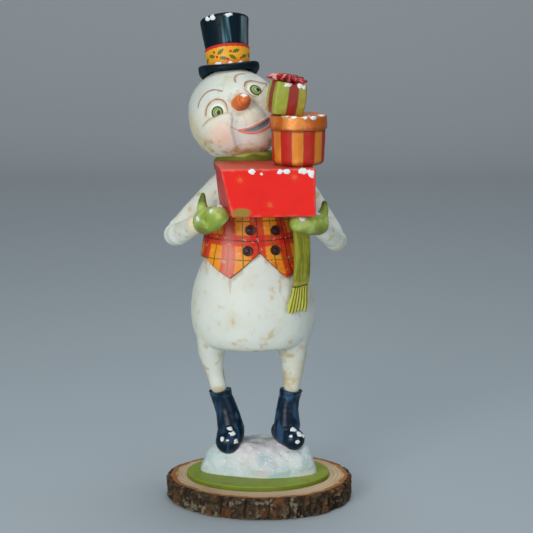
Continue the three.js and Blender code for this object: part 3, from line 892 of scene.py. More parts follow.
@dataclass
class Body:
    """Belly, chest, neck and legs, one casting, and the vest's place on it."""

    x: float = -3.9
    y: float = 3.2
    depth: float = 0.84
    lean_from: float = 125.0
    lean: float = 0.055
    facing: float = np.radians(10.0)
    profile: Places = (
        (0, 84.2), (15, 84.4), (26.5, 86), (31.6, 91), (33.7, 99), (33.9, 107), (32.4, 118), (29.4, 127),
        (26.2, 135), (23.7, 145), (21.7, 155), (19.4, 165), (16, 174), (10.6, 180.5), (7.2, 184), (7, 187),
        (0, 188.5),
    )
    legs: tuple[tuple[Station, ...], ...] = (
        ((-24.6, -3.0, 94, 10.6), (-26.4, 0.4, 82, 7.5), (-24.9, 2, 70, 4.9), (-22.8, 2, 61.5, 4.1)),
        ((15.8, -3.0, 94, 11.0), (17.9, 0.4, 82, 7.8), (18, 2, 70, 5.8), (17.5, 2, 61.5, 4.7)),
    )

    def half_width(self, z: Array) -> Array:
        """The torso's half width at a height, read off the profile's spline.

        Args:
            z: heights.

        Returns:
            One half width per height.
        """
        rows = spline(self.profile, np.linspace(0.0, 1.0, 1200))
        order = np.argsort(rows[:, 1])
        return np.interp(z, rows[order, 1], rows[order, 0])

    def point(self, angle: Array, half: Array, z: Array, coat: Array | float = 0.0) -> Array:
        """A point of the torso: an ellipse of the half width, angle 0 in front, leaning above the belly."""
        x = self.x - self.lean * np.maximum(0.0, z - self.lean_from) + (half + coat) * np.sin(angle)
        return np.stack([x, self.y - (self.depth * half + coat) * np.cos(angle), z + 0.0 * angle], axis=-1)

    def surface(self, vest: "Vest") -> Surface:
        """Melts the torso and the legs together; a slow noise leaves the hand's unevenness.

        Args:
            vest: its hem is where the brown wash gathers.

        Returns:
            The casting, with fields for its brown and ochre washes and for grime with painted shade down its
            right side and low down.
        """
        rows = spline(self.profile, np.linspace(0.004, 0.996, 170))
        angle = np.linspace(0.0, TURN, 130, endpoint=False)
        torso = skin(self.point(angle[None], rows[:, :1], rows[:, 1:]))
        made = fused([torso, *(limb(leg) for leg in self.legs)], 0.7, 60)
        p = made.swell(0.28 * noise(made.points, 0.07, 21, 3)).points
        at = np.arctan2(p[:, 0] - self.x, (self.y - p[:, 1]) / self.depth)
        under_hem = vest.hem(at) - p[:, 2]
        streak = noise(p * [1.0, 1.0, 0.45], 0.3, 22, 3)
        cloud = noise(p, 0.1, 23, 4)
        low = smooth(100.0, 76.0, p[:, 2])
        # grime and painted shade: cloudy, heavier down the body's right side and low on the belly
        made.fields["grime"] = 1.3 * cloud - 1.0 + 0.9 * smooth(0.5, 1.5, at) + 0.35 * low
        made.fields["rust"] = 1.5 * streak - 1.45 + 1.5 * bell(under_hem, 4.0) + 0.25 * low
        made.fields["ochre"] = 1.9 * noise(p, 0.2, 24, 3) - 1.75 + 1.0 * low
        return made

    def build(self, wardrobe: Wardrobe, paint: Paint, vest: "Vest") -> None:
        """Makes the casting and paints it white."""
        wardrobe.dress("body", self.surface(vest), paint)


@dataclass
class Vest:
    """The tartan vest with two points, and its four buttons."""

    body: Body
    thickness: float = 1.3
    lining: float = 0.8
    top: float = 179.5
    side: float = 135.0
    notch: float = 139.8
    point: float = 126.2
    left_at: float = np.radians(33.0)
    right_at: float = np.radians(26.0)
    side_at: float = np.radians(70.0)
    arm_of_check: float = 26.0
    check: Place = (16.3, 20.4)
    check_x: float = -0.5
    check_z: float = 146.2
    button_radius: float = 2.7
    button_height: float = 1.5
    buttons: Places = ((-5.2, 151.8), (8.0, 151.2), (-6.5, 140.9), (8.0, 140.9))

    def hem(self, angle: Array) -> Array:
        """The hem's height: straight runs from the notch to the points and from the points to the sides.

        Args:
            angle: angles round the body, 0 in front.

        Returns:
            One height per angle.
        """
        off = np.mod(angle - self.body.facing + np.pi, TURN) - np.pi
        at = [-np.pi, -self.side_at, -self.left_at, 0.0, self.right_at, self.side_at, np.pi]
        half = [self.side, self.side, self.point]
        return np.interp(off, at, [*half, self.notch, *half[::-1]])

    def surface(self) -> Surface:
        """A shell over the torso, from the hem up to the neck and down again inside.

        Rows follow z = top - (top - hem) down^1.5; the coat on the torso is lining + thickness outside
        and lining inside, rounded at the hem as the square root of t (2 - t).

        Returns:
            The shell with the plaid's fields, measured along the arc and the height.
        """
        angle = np.linspace(0.0, TURN, 460, endpoint=False)
        fall = np.concatenate([np.linspace(1.0, 0.985, 6)[:-1], np.linspace(0.985, 0.0, 130)])
        down = np.concatenate([fall, np.linspace(0.0, 1.0, 40)])
        hem = self.hem(angle)
        z = self.top - (self.top - hem) * down[:, None] ** 1.5
        t = np.clip((z - hem) / 0.9, 0.0, 1.0)
        outside = self.lining + self.thickness * (0.45 + 0.55 * np.sqrt(t * (2.0 - t)))
        folds = 0.25 * np.sin(5.0 * angle + 0.05 * z) * smooth(150.0, 135.0, z)
        inside = np.arange(len(down))[:, None] >= len(fall)
        coat = np.where(inside, self.lining, outside + folds)
        grid = np.broadcast_to(angle, z.shape)
        made = skin(self.body.point(grid, self.body.half_width(z), z, coat), looped=True)
        wobble = 0.25 * noise(made.points, 0.2, 31, 2)
        off = np.mod(grid - self.body.facing + np.pi, TURN) - np.pi
        across = off.reshape(-1) * self.arm_of_check - self.check_x + wobble
        upward = z.reshape(-1) - self.check_z + wobble
        f = made.fields
        for name, run, period in (("warp", across, self.check[0]), ("weft", upward, self.check[1])):
            near = np.abs(np.mod(run + period / 2.0, period) - period / 2.0)
            half_way = np.abs(np.mod(run, period) - period / 2.0)
            f[name] = (3.9 if name == "warp" else 3.0) - near
            f[name + "_line"] = 0.32 - near
            f[name + "_green"] = 0.34 - half_way
        edge = z.reshape(-1) - np.tile(hem, len(down))
        f["edge"] = 0.5 - edge
        aside = (np.abs(off.reshape(-1) + self.body.facing) - np.radians(80.0)) / np.radians(44.0)
        f["armhole"] = 8.0 * (1.0 - np.hypot(aside, (made.points[:, 2] - 170.0) / 13.0))
        # glitter with a painted highlight: a pale pink patch down one red band of the front
        rubbed = np.abs(across + self.check[0]) + 0.25 * np.abs(edge - 8.0)
        f["glitter"] = 4.5 - rubbed + 6.0 * wobble
        return made

    def button(self, x: float, z: float) -> Surface:
        """A domed disc with a rim, turned to face out of the vest at a place.

        Args:
            x: where it sits, across.
            z: where it sits, up.

        Returns:
            The button in place.
        """
        half = self.body.half_width(np.array(z))
        lean = self.body.lean * max(0.0, z - self.body.lean_from)
        coat = self.lining + self.thickness
        a = np.arcsin((x - self.body.x + lean) / (half + coat))
        at = self.body.point(a, half, np.array(z), coat)
        out = np.array([np.sin(a) * self.body.depth, -np.cos(a), 0.16])
        r, h = self.button_radius, self.button_height
        rim = arc((r - 0.4, h - 0.45), 0.4, 0, 90, 6)
        dish = [[r - 1.0, h - 0.25], [r - 1.3, h - 0.2], [0.8, h + 0.1], [0.05, h + 0.18]]
        profile = np.concatenate([[[0.05, -1.2], [r - 0.1, -1.2]], rim, dish])
        return lathe(dense(profile, 0.25), 40).placed(turn_to(out), at)

    def build(self, wardrobe: Wardrobe) -> None:
        """Makes the vest and its buttons.

        Args:
            wardrobe: dresses the pieces.
        """
        red, dark, green = (0.58, 0.012, 0.01), (0.075, 0.012, 0.004), (0.08, 0.13, 0.012)
        tartan = Paint(
            "tartan", (0.84, 0.29, 0.012), 0.5, coat=0.04, shine=0.2, brush=0.5,
            stains=(Stain((0.80, 0.13, 0.01), 110.0, 0.5, 0.72, 0.85),),
            marks=(
                Mark("warp", red, 0.6, 0.85), Mark("weft", red, 0.6, 0.85),
                Mark("warp_green", green, 0.15, 0.85), Mark("weft_green", green, 0.15, 0.85),
                Mark("warp_line", dark, 0.15, 0.9), Mark("weft_line", dark, 0.15, 0.9),
                # glitter: glitter with a painted highlight on one red band
                Mark("glitter", (0.82, 0.42, 0.34), 3.0, 0.5), Mark("edge", (0.22, 0.06, 0.01), 0.25, 0.8),
                Mark("armhole", (0.70, 0.74, 0.68), 0.4),
            ),
            wash=(
                Stain((0.85, 0.6, 0.48), 500.0, 0.61, 0.7, 0.45),
                Stain((0.16, 0.04, 0.008), 90.0, 0.58, 0.8, 0.45),
            ),
        )
        wardrobe.dress("vest", self.surface(), tartan)
        plum = Paint("plum", (0.03, 0.004, 0.006), 0.45, coat=0.1, shine=0.3)
        for number, (x, z) in enumerate(self.buttons, start=1):
            name = f"vest_button_{number}"
            wardrobe.dress(name, self.button(x, z), plum)


@dataclass
class Boots:
    """The two glossy boots."""

    shafts: dict[Side, tuple[Station, ...]] = field(default_factory=lambda: {
        Side.LEFT: (
            (-21.9, 2, 59.4, 6.2), (-20.7, 2, 55, 5.9), (-18.4, 1.6, 48.3, 6.3), (-16.6, 0.4, 40.5, 7.2),
        ),
        Side.RIGHT: ((16.9, 2, 59.6, 6.3), (16, 2, 55, 5.8), (15, 1.4, 48, 6.2), (14.8, -0.4, 40.5, 7.3)),
    })
    feet: dict[Side, tuple[Station, ...]] = field(default_factory=lambda: {
        Side.LEFT: ((-15.6, 4, 37.2, 7), (-16.2, -1.6, 36, 7.5), (-17.6, -6.2, 32.6, 6.7)),
        Side.RIGHT: ((12, 3.2, 36.2, 6), (14.8, -1.6, 35.6, 6.9), (18.4, -5.8, 33.8, 6.1)),
    })
    roll: float = 0.5
    # how little blue painted sheen each boot gets: the right boot gets more
    dark: dict[Side, float] = field(default_factory=lambda: {Side.LEFT: 1.15, Side.RIGHT: 0.4})
    dabs: dict[Side, tuple[Dab, ...]] = field(default_factory=lambda: {
        Side.LEFT: (
            Dab((-16.5, -7.9, 40.1), (1.7, 1.5, 1.3)), Dab((-15.4, -9.5, 38.0), (1.9, 1.5, 1.1)),
            Dab((-20.5, -11.1, 35.3), (1.2, 1.5, 1.0)), Dab((-13.4, -10.6, 33.8), (1.8, 1.5, 1.2)),
            Dab((-17.5, -12.1, 35.0), (0.9, 1.0, 0.7)),
        ),
        Side.RIGHT: (
            Dab((18.0, -7.6, 39.5), (1.6, 1.5, 1.2)), Dab((21.5, -9.2, 37.6), (2.0, 1.5, 1.3)),
            Dab((16.9, -10.3, 36.8), (1.1, 1.2, 0.9)), Dab((20.7, -11.3, 33.7), (1.5, 1.5, 1.0)),
            Dab((23.5, -7.7, 36.1), (1.0, 1.2, 0.9)),
        ),
    })

    def surface(self, side: Side) -> Surface:
        """Melts the shaft, the foot and a rolled top together; creases run round the ankle.

        Args:
            side: which boot.

        Returns:
            The boot, with a field for its blue painted sheen.
        """
        x, y, z, r = self.shafts[side][0]
        top = lathe(arc((r - 0.3, 0.0), self.roll, 0, 345, 23), 60, looped=True)
        top.points += [x, y, z - self.roll]
        shaft = limb(self.shafts[side], 48, 60, start_dome=0.0)
        made = fused([shaft, limb(self.feet[side], 48, 40), top], 0.4, 22)
        p = made.points
        band = bell(p[:, 2] - 55.6 - 0.1 * p[:, 0] * np.sign(x), 0.7)
        crease = np.sin(p[:, 2] * 1.3 + 0.2 * p[:, 0]) * bell(p[:, 2] - 49.0, 4.0)
        # painted sheen: blue streaks, lifted along the band under the top and set for each boot by dark
        made.fields["rub"] = 1.5 * noise(p * [1, 1, 0.4], 0.22, 43, 4) - self.dark[side] + 0.5 * band
        return made.swell(0.05 * crease - 0.2 * band + 0.14 * noise(p, 0.12, 41, 2))

    def build(self, wardrobe: Wardrobe, navy: Paint) -> None:
        """Makes both boots.

        Args:
            wardrobe: dresses the pieces.
            navy: their finish.
        """
        for side in Side:
            name = f"boot_{side.value}"
            wardrobe.dress(name, self.surface(side), navy, self.dabs[side])


@dataclass
class Scarf:
    """The wrap round the neck and its tail with a fringe, one casting."""

    centre: Spot = (-8.0, 3.0, 186.4)
    radius: float = 13.0
    thickness: float = 4.0
    height: float = 4.6
    rise: float = np.radians(5.0)
    loose: float = 3.5
    tail: tuple[Spot, ...] = (
        (3, -7.4, 186), (9.5, -8.4, 178), (16, -9, 168), (20.6, -13, 158), (22.3, -16.6, 147),
        (22.6, -17.4, 135), (22.1, -17, 124.5), (21.7, -17.1, 121.0),
    )
    half_width: float = 5.0
    half_thickness: float = 1.8
    facing: float = np.radians(38.0)
    hem: float = 121.8
    fringe_foot: Spot = (19.7, -20.4, 108.0)
    flare: float = 1.34
    strands: int = 6
    middle: tuple[Spot, ...] = (
        (19.7, -20.4, 108.0), (21.9, -17.0, 123.5), (22.6, -17.4, 135.0), (22.3, -16.6, 147.0),
    )
    wrap_above: float = 176.0
    tail_below: float = 172.0

    def wrap(self) -> Surface:
        """A torus with an oval section, looser and higher in front, its section rippled by two sines.

        Returns:
            The wrap.
        """
        a, s = np.meshgrid(*(np.linspace(0, TURN, n, endpoint=False) for n in (220, 80)), indexing="ij")
        fold = 1.0 + 0.1 * np.sin(5.0 * a + 2.0 * s) + 0.03 * np.sin(7.0 * s + 2.0 * a)
        ahead = smooth(-0.1, -0.9, np.sin(a))
        out = self.radius + self.thickness * fold * np.cos(s) + self.loose * ahead
        z = self.height * fold * np.sin(s) + out * np.cos(a) * np.sin(self.rise) + 0.55 * self.loose * ahead
        rings = np.stack([out * np.cos(a), out * np.sin(a), z], axis=-1)
        return skin(rings + np.asarray(self.centre), looped=True)

    def strip(self) -> Surface:
        """A flat strip with soft edges down the tail's path, pinched at the hem.

        The section is a superellipse, |cos|^0.6 wide and |sin|^0.6 thick.

        Returns:
            The strip.
        """
        t = np.linspace(0.0, 1.0, 150)
        path = spline(self.tail, t)
        s = np.linspace(0.0, TURN, 96, endpoint=False)
        wide = np.array([np.cos(self.facing), np.sin(self.facing), 0.0])
        deep = np.array([np.sin(self.facing), -np.cos(self.facing), 0.0])
        u = np.sign(np.cos(s)) * np.abs(np.cos(s)) ** 0.6
        v = np.sign(np.sin(s)) * np.abs(np.sin(s)) ** 0.6
        pinch = 1.0 - 0.14 * bell(path[:, 2:] - self.hem, 1.6)
        across, through = self.half_width * pinch * u, self.half_thickness * pinch * v
        return skin(path[:, None] + across[..., None] * wide + through[..., None] * deep)

    def strand(self, number: int) -> Surface:
        """One strand: a straight limb from the hem, spread sideways towards the foot of the fringe.

        Args:
            number: which strand, from 0.

        Returns:
            The strand.
        """
        share = (number / (self.strands - 1) - 0.5) * 2.0
        wide = np.array([np.cos(self.facing), np.sin(self.facing), 0.0])
        head = np.array([*self.tail[-1][:2], self.hem + 0.8]) + wide * share * self.half_width * 0.8
        foot = np.asarray(self.fringe_foot) + wide * share * self.half_width * self.flare * 0.84
        foot = foot + [0.0, 0.0, 0.9 * abs(np.sin(2.4 * number + 0.7))]
        rows = [head, head * 0.62 + foot * 0.38, head * 0.25 + foot * 0.75, foot]
        return limb([(*row, r) for row, r in zip(rows, (0.9, 1.1, 1.2, 0.85))], 22, 40)

    def surface(self) -> Surface:
        """Melts wrap, strip and strands together.

        Returns:
            The scarf, with fields for the hem, the fringe, a painted shade over the wrap with a painted
            highlight along its upper edge, and the brushed tail.
        """
        made = fused([self.wrap(), self.strip(), *(self.strand(n) for n in range(self.strands))], 0.36, 6)
        p = made.points
        made.swell(0.16 * noise(p, 0.25, 51, 3))
        f = made.fields
        wide = np.array([np.cos(self.facing), np.sin(self.facing), 0.0])
        *run, level = np.asarray(self.middle).T
        middle = np.stack([np.interp(p[:, 2], level, x) for x in run], axis=1)
        across = (p[:, :2] - middle) @ wide[:2]
        below = self.hem - p[:, 2]
        pitch = 2.0 * self.half_width * (0.8 + 0.3 * smooth(0.0, 14.0, below)) / (self.strands - 1)
        f["hem_line"] = 0.4 - np.abs(below + 0.3 * np.sin(across * 0.5))
        f["hem_pale"] = 0.7 - np.abs(below + 1.6)
        f["fringe"] = below
        gap = np.abs(np.mod(across / pitch, 1.0) - 0.5)
        f["strands"] = np.where(below > 0.3, 0.34 - gap * pitch, OFF)
        around = np.arctan2(p[:, 1] - self.centre[1], p[:, 0] - self.centre[0])
        lift = p[:, 2] - self.centre[2] - self.radius * np.cos(around) * np.sin(self.rise)
        lift = lift - 0.55 * self.loose * smooth(-0.1, -0.9, np.sin(around))
        # painted shade over the wrap round the neck
        f["neck"] = p[:, 2] - self.wrap_above
        # painted highlight along the wrap's upper edge
        f["upper"] = np.where(f["neck"] > 0.0, lift - 3.6 + noise(p, 0.2, 52, 2), OFF)
        brushed = noise(np.stack([across * 2.2, p[:, 2] * 0.25, 0.0 * across], axis=1), 0.5, 53, 3)
        f["brushed"] = np.where(p[:, 2] < self.tail_below, 1.2 * brushed - 0.35, OFF)
        return made

    def build(self, wardrobe: Wardrobe) -> None:
        """Makes the scarf.

        Args:
            wardrobe: dresses the piece.
        """
        paint = Paint(
            "scarf green", (0.28, 0.29, 0.027), 0.55, shine=0.2, brush=0.6,
            stains=(
                Stain((0.15, 0.16, 0.014), 90.0, 0.5, 0.72, 0.7),
                Stain((0.38, 0.42, 0.06), 160.0, 0.55, 0.75, 0.5),
            ),
            marks=(
                # neck: painted shade over the wrap; upper: painted highlight along its top edge
                Mark("neck", (0.10, 0.105, 0.012), 2.0, 0.8), Mark("upper", (0.46, 0.54, 0.13), 0.7, 0.8),
                Mark("brushed", (0.11, 0.12, 0.011), 0.5, 0.6),
                Mark("hem_pale", (0.40, 0.36, 0.08), 0.5, 0.6),
                Mark("fringe", (0.66, 0.65, 0.11), 0.6, 0.72),
                Mark("strands", (0.05, 0.045, 0.006), 0.2, 0.85),
                Mark("hem_line", (0.035, 0.03, 0.004), 0.25, 0.9),
            ),
        )
        wardrobe.dress("scarf", self.surface(), paint)


# The head


@dataclass(frozen=True)
class Lump:
    """A soft bump on the face: its [right, up] place, its rise and its spread."""

    at: Place
    rise: float
    spread: float
    both: bool = True


@dataclass(frozen=True)
class Eye:
    """An eye's painted lines as [right, up] places, and the sizes of its iris and brow."""

    iris: Place
    pupil: Place
    radius: float
    upper: Places
    lower: Places
    brow: Places
    brow_half: float


LEFT_EYE = Eye(
    (-0.501, -0.05), (-0.478, -0.075), 3.3,
    (
        (-0.7, 0.059), (-0.643, 0.156), (-0.541, 0.219), (-0.425, 0.224), (-0.339, 0.18), (-0.276, 0.092),
        (-0.267, -0.028), (-0.306, -0.155),
    ),
    (
        (-0.822, -0.082), (-0.761, -0.073), (-0.692, -0.064), (-0.613, -0.091), (-0.505, -0.124),
        (-0.377, -0.163), (-0.302, -0.188),
    ),
    (
        (-0.741, 0.329), (-0.676, 0.398), (-0.576, 0.442), (-0.46, 0.46), (-0.359, 0.45), (-0.262, 0.398),
        (-0.174, 0.29),
    ),
    0.45,
)
RIGHT_EYE = Eye(
    (0.497, -0.03), (0.535, -0.045), 3.4,
    ((0.31, 0.156), (0.391, 0.225), (0.503, 0.226), (0.621, 0.177), (0.724, 0.086), (0.822, 0.045)),
    (
        (0.28, 0.1), (0.297, 0.005), (0.326, -0.11), (0.421, -0.176), (0.541, -0.143), (0.741, -0.027),
        (0.822, 0.045),
    ),
    ((0.197, 0.335), (0.225, 0.414), (0.296, 0.464), (0.378, 0.469), (0.49, 0.44)),
    0.55,
)


@dataclass
class Head:
    """The head with its painted face, and the nose."""

    centre: Spot = (-14.4, 0.0, 212.6)
    radius: float = 24.0
    sag: float = 2.0
    lumps: tuple[Lump, ...] = (
        Lump((0.72, -0.38), 2.6, 0.42),
        Lump((0.02, -0.46), 2.0, 0.32, both=False),
        Lump((0.04, -0.9), 3.0, 0.36, both=False),
        Lump((0.29, -0.95), 2.6, 0.34, both=False),
        Lump((0.51, 0.03), -1.7, 0.25),
        Lump((0.51, 0.0), 1.7, 0.16),
        Lump((0.45, 0.42), 0.7, 0.24),
    )
    nose_at: Place = (0.01, -0.155)
    nose_radius: float = 4.3
    nose_tip: float = 3.1
    nose_length: float = 8.4
    nose_dabs: tuple[Dab, ...] = (Dab((-8.2, -29.6, 224.8), (1.7, 2.0, 0.9), 0.35),)
    eyes: tuple[Eye, Eye] = (LEFT_EYE, RIGHT_EYE)
    crease: Places = (
        (0.288, -0.223), (0.29, -0.327), (0.34, -0.392), (0.401, -0.483), (0.419, -0.577), (0.44, -0.679),
    )
    lip_corner: Places = ((-0.378, -0.461), (-0.341, -0.53), (-0.283, -0.582))
    upper_lip: Places = (
        (-0.283, -0.582), (-0.173, -0.616), (-0.058, -0.641), (0.164, -0.649), (0.412, -0.629), (0.58, -0.57),
    )
    lower_lip: Places = (
        (-0.285, -0.586), (-0.173, -0.68), (-0.04, -0.738), (0.123, -0.763), (0.332, -0.755), (0.52, -0.672),
    )
    roof: Places = (
        (-0.2, -0.63), (-0.07, -0.658), (0.009, -0.668), (0.149, -0.67), (0.377, -0.65), (0.56, -0.59),
    )
    floor: Places = (
        (-0.2, -0.65), (-0.087, -0.705), (0.063, -0.742), (0.255, -0.748), (0.378, -0.728), (0.54, -0.645),
    )

    def __post_init__(self) -> None:
        """Works out how the head is turned."""
        self.turn = turn_about("z", 5.3) @ turn_about("x", -25.5) @ turn_about("y", -29.6)

    @staticmethod
    def toward(places: Rows) -> Array:
        """Unit directions in the head's own frame from [right, up]; forward is -Y.

        Args:
            places: rows of right and up, as shares of the radius.

        Returns:
            One direction per place.
        """
        p = np.atleast_2d(np.asarray(places, dtype=float))
        ahead = np.sqrt(np.maximum(1.0 - p[:, 0] ** 2 - p[:, 1] ** 2, 1e-6))
        return np.stack([p[:, 0], -ahead, p[:, 1]], axis=1)

    def stroke(self, directions: Array, places: Sequence[Sequence[float]]) -> Array:
        """Millimetres over the face from a painted stroke along a spline."""
        path = self.toward(spline(places, np.linspace(0.0, 1.0, 22)))
        return path_distance(directions, path) * self.radius

    def away(self, directions: Array, place: Place) -> Array:
        """Millimetres over the face from a place."""
        return np.linalg.norm(directions - self.toward([place]), axis=1) * self.radius

    def over(self, directions: Array, line: Sequence[Place]) -> Array:
        """Millimetres above a line that runs from left to right over the face.

        Args:
            directions: where to measure.
            line: the line's places.

        Returns:
            One height per direction.
        """
        at = spline(line, np.linspace(0.0, 1.0, 60))
        level = np.interp(directions[:, 0], np.maximum.accumulate(at[:, 0]), at[:, 1])
        return (directions[:, 2] - level) * self.radius

    def beyond_crease(self, directions: Array) -> tuple[Array, Array]:
        """Millimetres from the crease towards the cheek, and 1 where the crease is, fading at its ends.

        Args:
            directions: where to measure.

        Returns:
            Both numbers per direction.
        """
        at, up = np.asarray(self.crease)[::-1], directions[:, 2]
        out = (np.abs(directions[:, 0]) - np.interp(up, at[:, 1], at[:, 0])) * self.radius
        front = smooth(0.1, -0.1, directions[:, 1])
        return out, smooth(-0.86, -0.68, up) * smooth(-0.16, -0.3, up) * front

    def surface(self) -> Surface:
        """A ball whose radius depends on direction.

        Rings run round the face's forward axis, closer together in front. The radius is a ball's, with
        sag under it, a sum of bells for cheeks, muzzle, chin and eyes, ridges along the lids and lips,
        a groove along the mouth, and smooth steps up to the cheeks at the creases and the lower lids.

        Returns:
            The head in place, with the fields of its painted face.
        """
        polar = np.pi * np.linspace(0.004, 0.996, 215) ** 1.3
        round_it = np.linspace(0.0, TURN, 430, endpoint=False)
        right, up = np.sin(polar)[:, None] * np.cos(round_it), np.sin(polar)[:, None] * np.sin(round_it)
        ahead = np.broadcast_to(-np.cos(polar)[:, None], right.shape)
        made = skin(np.stack([right, ahead, up], axis=-1))
        made.points /= np.linalg.norm(made.points, axis=1)[:, None]
        d = made.points.copy()
        lips = np.minimum(self.stroke(d, self.upper_lip), self.stroke(d, self.lower_lip))
        beyond, creased = self.beyond_crease(d)
        radius = self.radius + self.sag * np.maximum(0.0, -(d @ self.turn.T)[:, 2]) ** 2
        for lump in self.lumps:
            for x in {lump.at[0], -lump.at[0]} if lump.both else {lump.at[0]}:
                apart = np.arccos(np.clip(d @ self.toward([(x, lump.at[1])])[0], -1.0, 1.0))
                radius = radius + lump.rise * bell(apart, lump.spread)
        for eye in self.eyes:
            above, near = self.over(d, eye.lower), bell(self.away(d, eye.iris), 7.0)
            radius = radius + 0.45 * smooth(0.3, -0.7, above) * bell(np.minimum(above, 0.0), 4.5) * near
            radius = radius + 0.45 * bell(self.stroke(d, eye.upper), 0.9)
            radius = radius + 0.2 * bell(self.stroke(d, eye.brow), 1.0)
        step = 0.55 * smooth(-0.8, 0.8, beyond) * bell(np.maximum(beyond, 0.0), 6.0)
        radius = radius + (step - 0.25 * bell(beyond + 0.8, 1.4)) * creased
        radius = radius + 0.3 * bell(lips, 0.8) - 0.35 * smooth(-0.2, 0.5, self.mouth(d))
        made.points = d * (radius + 0.2 * noise(d * self.radius, 0.1, 61, 3))[:, None]
        made = made.placed(self.turn, self.centre)
        self._paint(made, d)
        return made

    def mouth(self, d: Array) -> Array:
        """Millimetres inside the open mouth, between a line under the upper lip and one over the lower.

        Args:
            d: directions from the middle of the head.

        Returns:
            One depth per direction.
        """
        inside = np.minimum(-self.over(d, self.roof), self.over(d, self.floor))
        ends = (0.36 - np.abs(d[:, 0] - 0.17)) * self.radius
        return np.where(d[:, 1] < 0.0, np.minimum(inside, ends), OFF)

    def _paint(self, made: Surface, d: Array) -> None:
        """Adds the face's fields to the head.

        Args:
            made: the head.
            d: the direction of each of its points, in the head's frame.
        """
        f = made.fields
        cloud, fine = noise(d * self.radius, 0.1, 64, 4), noise(d * self.radius, 0.45, 62, 3)
        rims = {"iris_rim": 1.0, "iris": 0.72, "iris_core": 0.47, "iris_pale": 0.36}
        for name in (*rims, "sclera", "pupil", "lid_line", "lid_low", "lid_shade", "brow"):
            f[name] = np.full(len(d), OFF)
        for eye in self.eyes:
            above, disc = self.over(d, eye.lower), self.away(d, eye.iris)
            upper, lower = self.stroke(d, eye.upper), self.stroke(d, eye.lower)
            for name, share in rims.items():
                f[name] = np.maximum(f[name], np.minimum(eye.radius * share - disc, above - 0.1))
            f["sclera"] = np.maximum(f["sclera"], np.minimum(4.7 - disc, above))
            f["pupil"] = np.maximum(f["pupil"], 1.05 - self.away(d, eye.pupil))
            f["lid_line"] = np.maximum(f["lid_line"], 0.3 - upper + 0.14 * fine)
            f["lid_low"] = np.maximum(f["lid_low"], 0.2 - lower + 0.14 * fine)
            f["lid_shade"] = np.maximum(f["lid_shade"], 1.1 - np.minimum(upper, lower + 0.4))
            f["brow"] = np.maximum(f["brow"], eye.brow_half - self.stroke(d, eye.brow) + 0.14 * fine)
        beyond, creased = self.beyond_crease(d)
        f["crease"] = np.where(creased > 0.25, 0.5 - np.abs(beyond + 0.3), OFF)
        f["crease_shade"] = np.where(creased > 0.05, 1.6 - np.abs(beyond + 1.5), OFF)
        cheeks = np.minimum(self.away(d, (-0.62, -0.44)), self.away(d, (0.62, -0.44)))
        below = np.minimum(-self.over(d, self.eyes[0].lower), 3.0)
        f["blush"] = np.minimum(np.minimum(6.6 - cheeks, 2.0 * beyond + 2.0), below + 1.5) + 1.8 * cloud
        # painted shadow of the nose, cast to its right and round its base
        nose = np.minimum(self.away(d, (0.27, -0.22)), self.away(d, (0.01, -0.16)) - 2.4)
        f["nose_stain"] = 3.4 - nose + 1.6 * fine
        drop = (made.points[:, 2] - self.centre[2]) / self.radius
        low = smooth(-0.25, -1.0, drop)
        # painted shade: yellow towards the face's sides, which turn from the light, and towards its bottom;
        # patchy by noise
        f["sallow"] = 1.2 * cloud - 1.6 + 1.9 * smooth(0.72, 1.0, np.abs(d[:, 0])) + 1.5 * low
        f["cool"] = (d[:, 2] - 0.3) * self.radius + 2.0 * cloud
        # painted light: a paler patch over the muzzle and the chin
        f["pale"] = 7.5 - np.minimum(self.away(d, (0.12, -0.42)), self.away(d, (0.2, -0.86)) + 2.0)
        lips = np.minimum(self.stroke(d, self.upper_lip) + 0.2, self.stroke(d, self.lower_lip))
        f["lips"], f["mouth"] = 0.62 - lips, self.mouth(d)
        f["lip_corner"] = 0.22 - self.stroke(d, self.lip_corner)
        # grime and painted shade, heavier towards the bottom of the head
        f["grime"] = 1.8 * fine + 0.9 * cloud - 3.0 + 2.4 * low
        # painted shade over the chin, under the mouth
        chin = smooth(-0.5, -0.9, drop) * smooth(-6.0, 6.0, -beyond)
        f["chin"] = 0.9 * fine + 0.8 * cloud - 1.5 + 3.0 * chin
        f["jaw"] = 1.9 * fine + 1.0 * cloud - 3.2 + 3.5 * low

    def nose(self) -> Surface:
        """A blunt carrot: a lathed cone with a domed tip and three soft rings.

        Returns:
            The nose in place, with fields for its rings and its shaded underside.
        """
        r, tip, length = self.nose_radius, self.nose_tip, self.nose_length
        knots = [(r, -3.0), (r, 1.0), (0.94 * r, 4.0), (1.08 * tip, length - tip)]
        flank = spline(knots, np.linspace(0, 1, 40))
        profile = np.concatenate([[[0.05, -3.0]], flank, arc((0.0, length - tip), tip * 1.06, 8, 88, 14)])
        made = lathe(profile, 64)
        p = made.points
        rings = np.min([np.abs(p[:, 2] - z - 0.25 * p[:, 0] / r) for z in (1.8, 3.8, 5.6)], axis=0)
        p[:, :2] *= 1.0 - 0.05 * bell(rings, 0.5)[:, None]
        made.swell(0.15 * noise(p, 0.3, 65, 3))
        made.fields["ring"] = 0.22 - rings
        side, drop = np.radians(15.0), np.radians(12.0)
        axis = np.array([np.sin(side), -np.cos(side) * np.cos(drop), -np.sin(drop)])
        at = self.toward([self.nose_at])[0] * (self.radius + 1.2)
        middle = self.turn @ at + np.asarray(self.centre)
        made = made.placed(self.turn @ turn_to(axis), middle)
        made.fields["under"] = (made.points - middle) @ np.array([0.75, 0.0, -0.65]) - 0.6
        return made

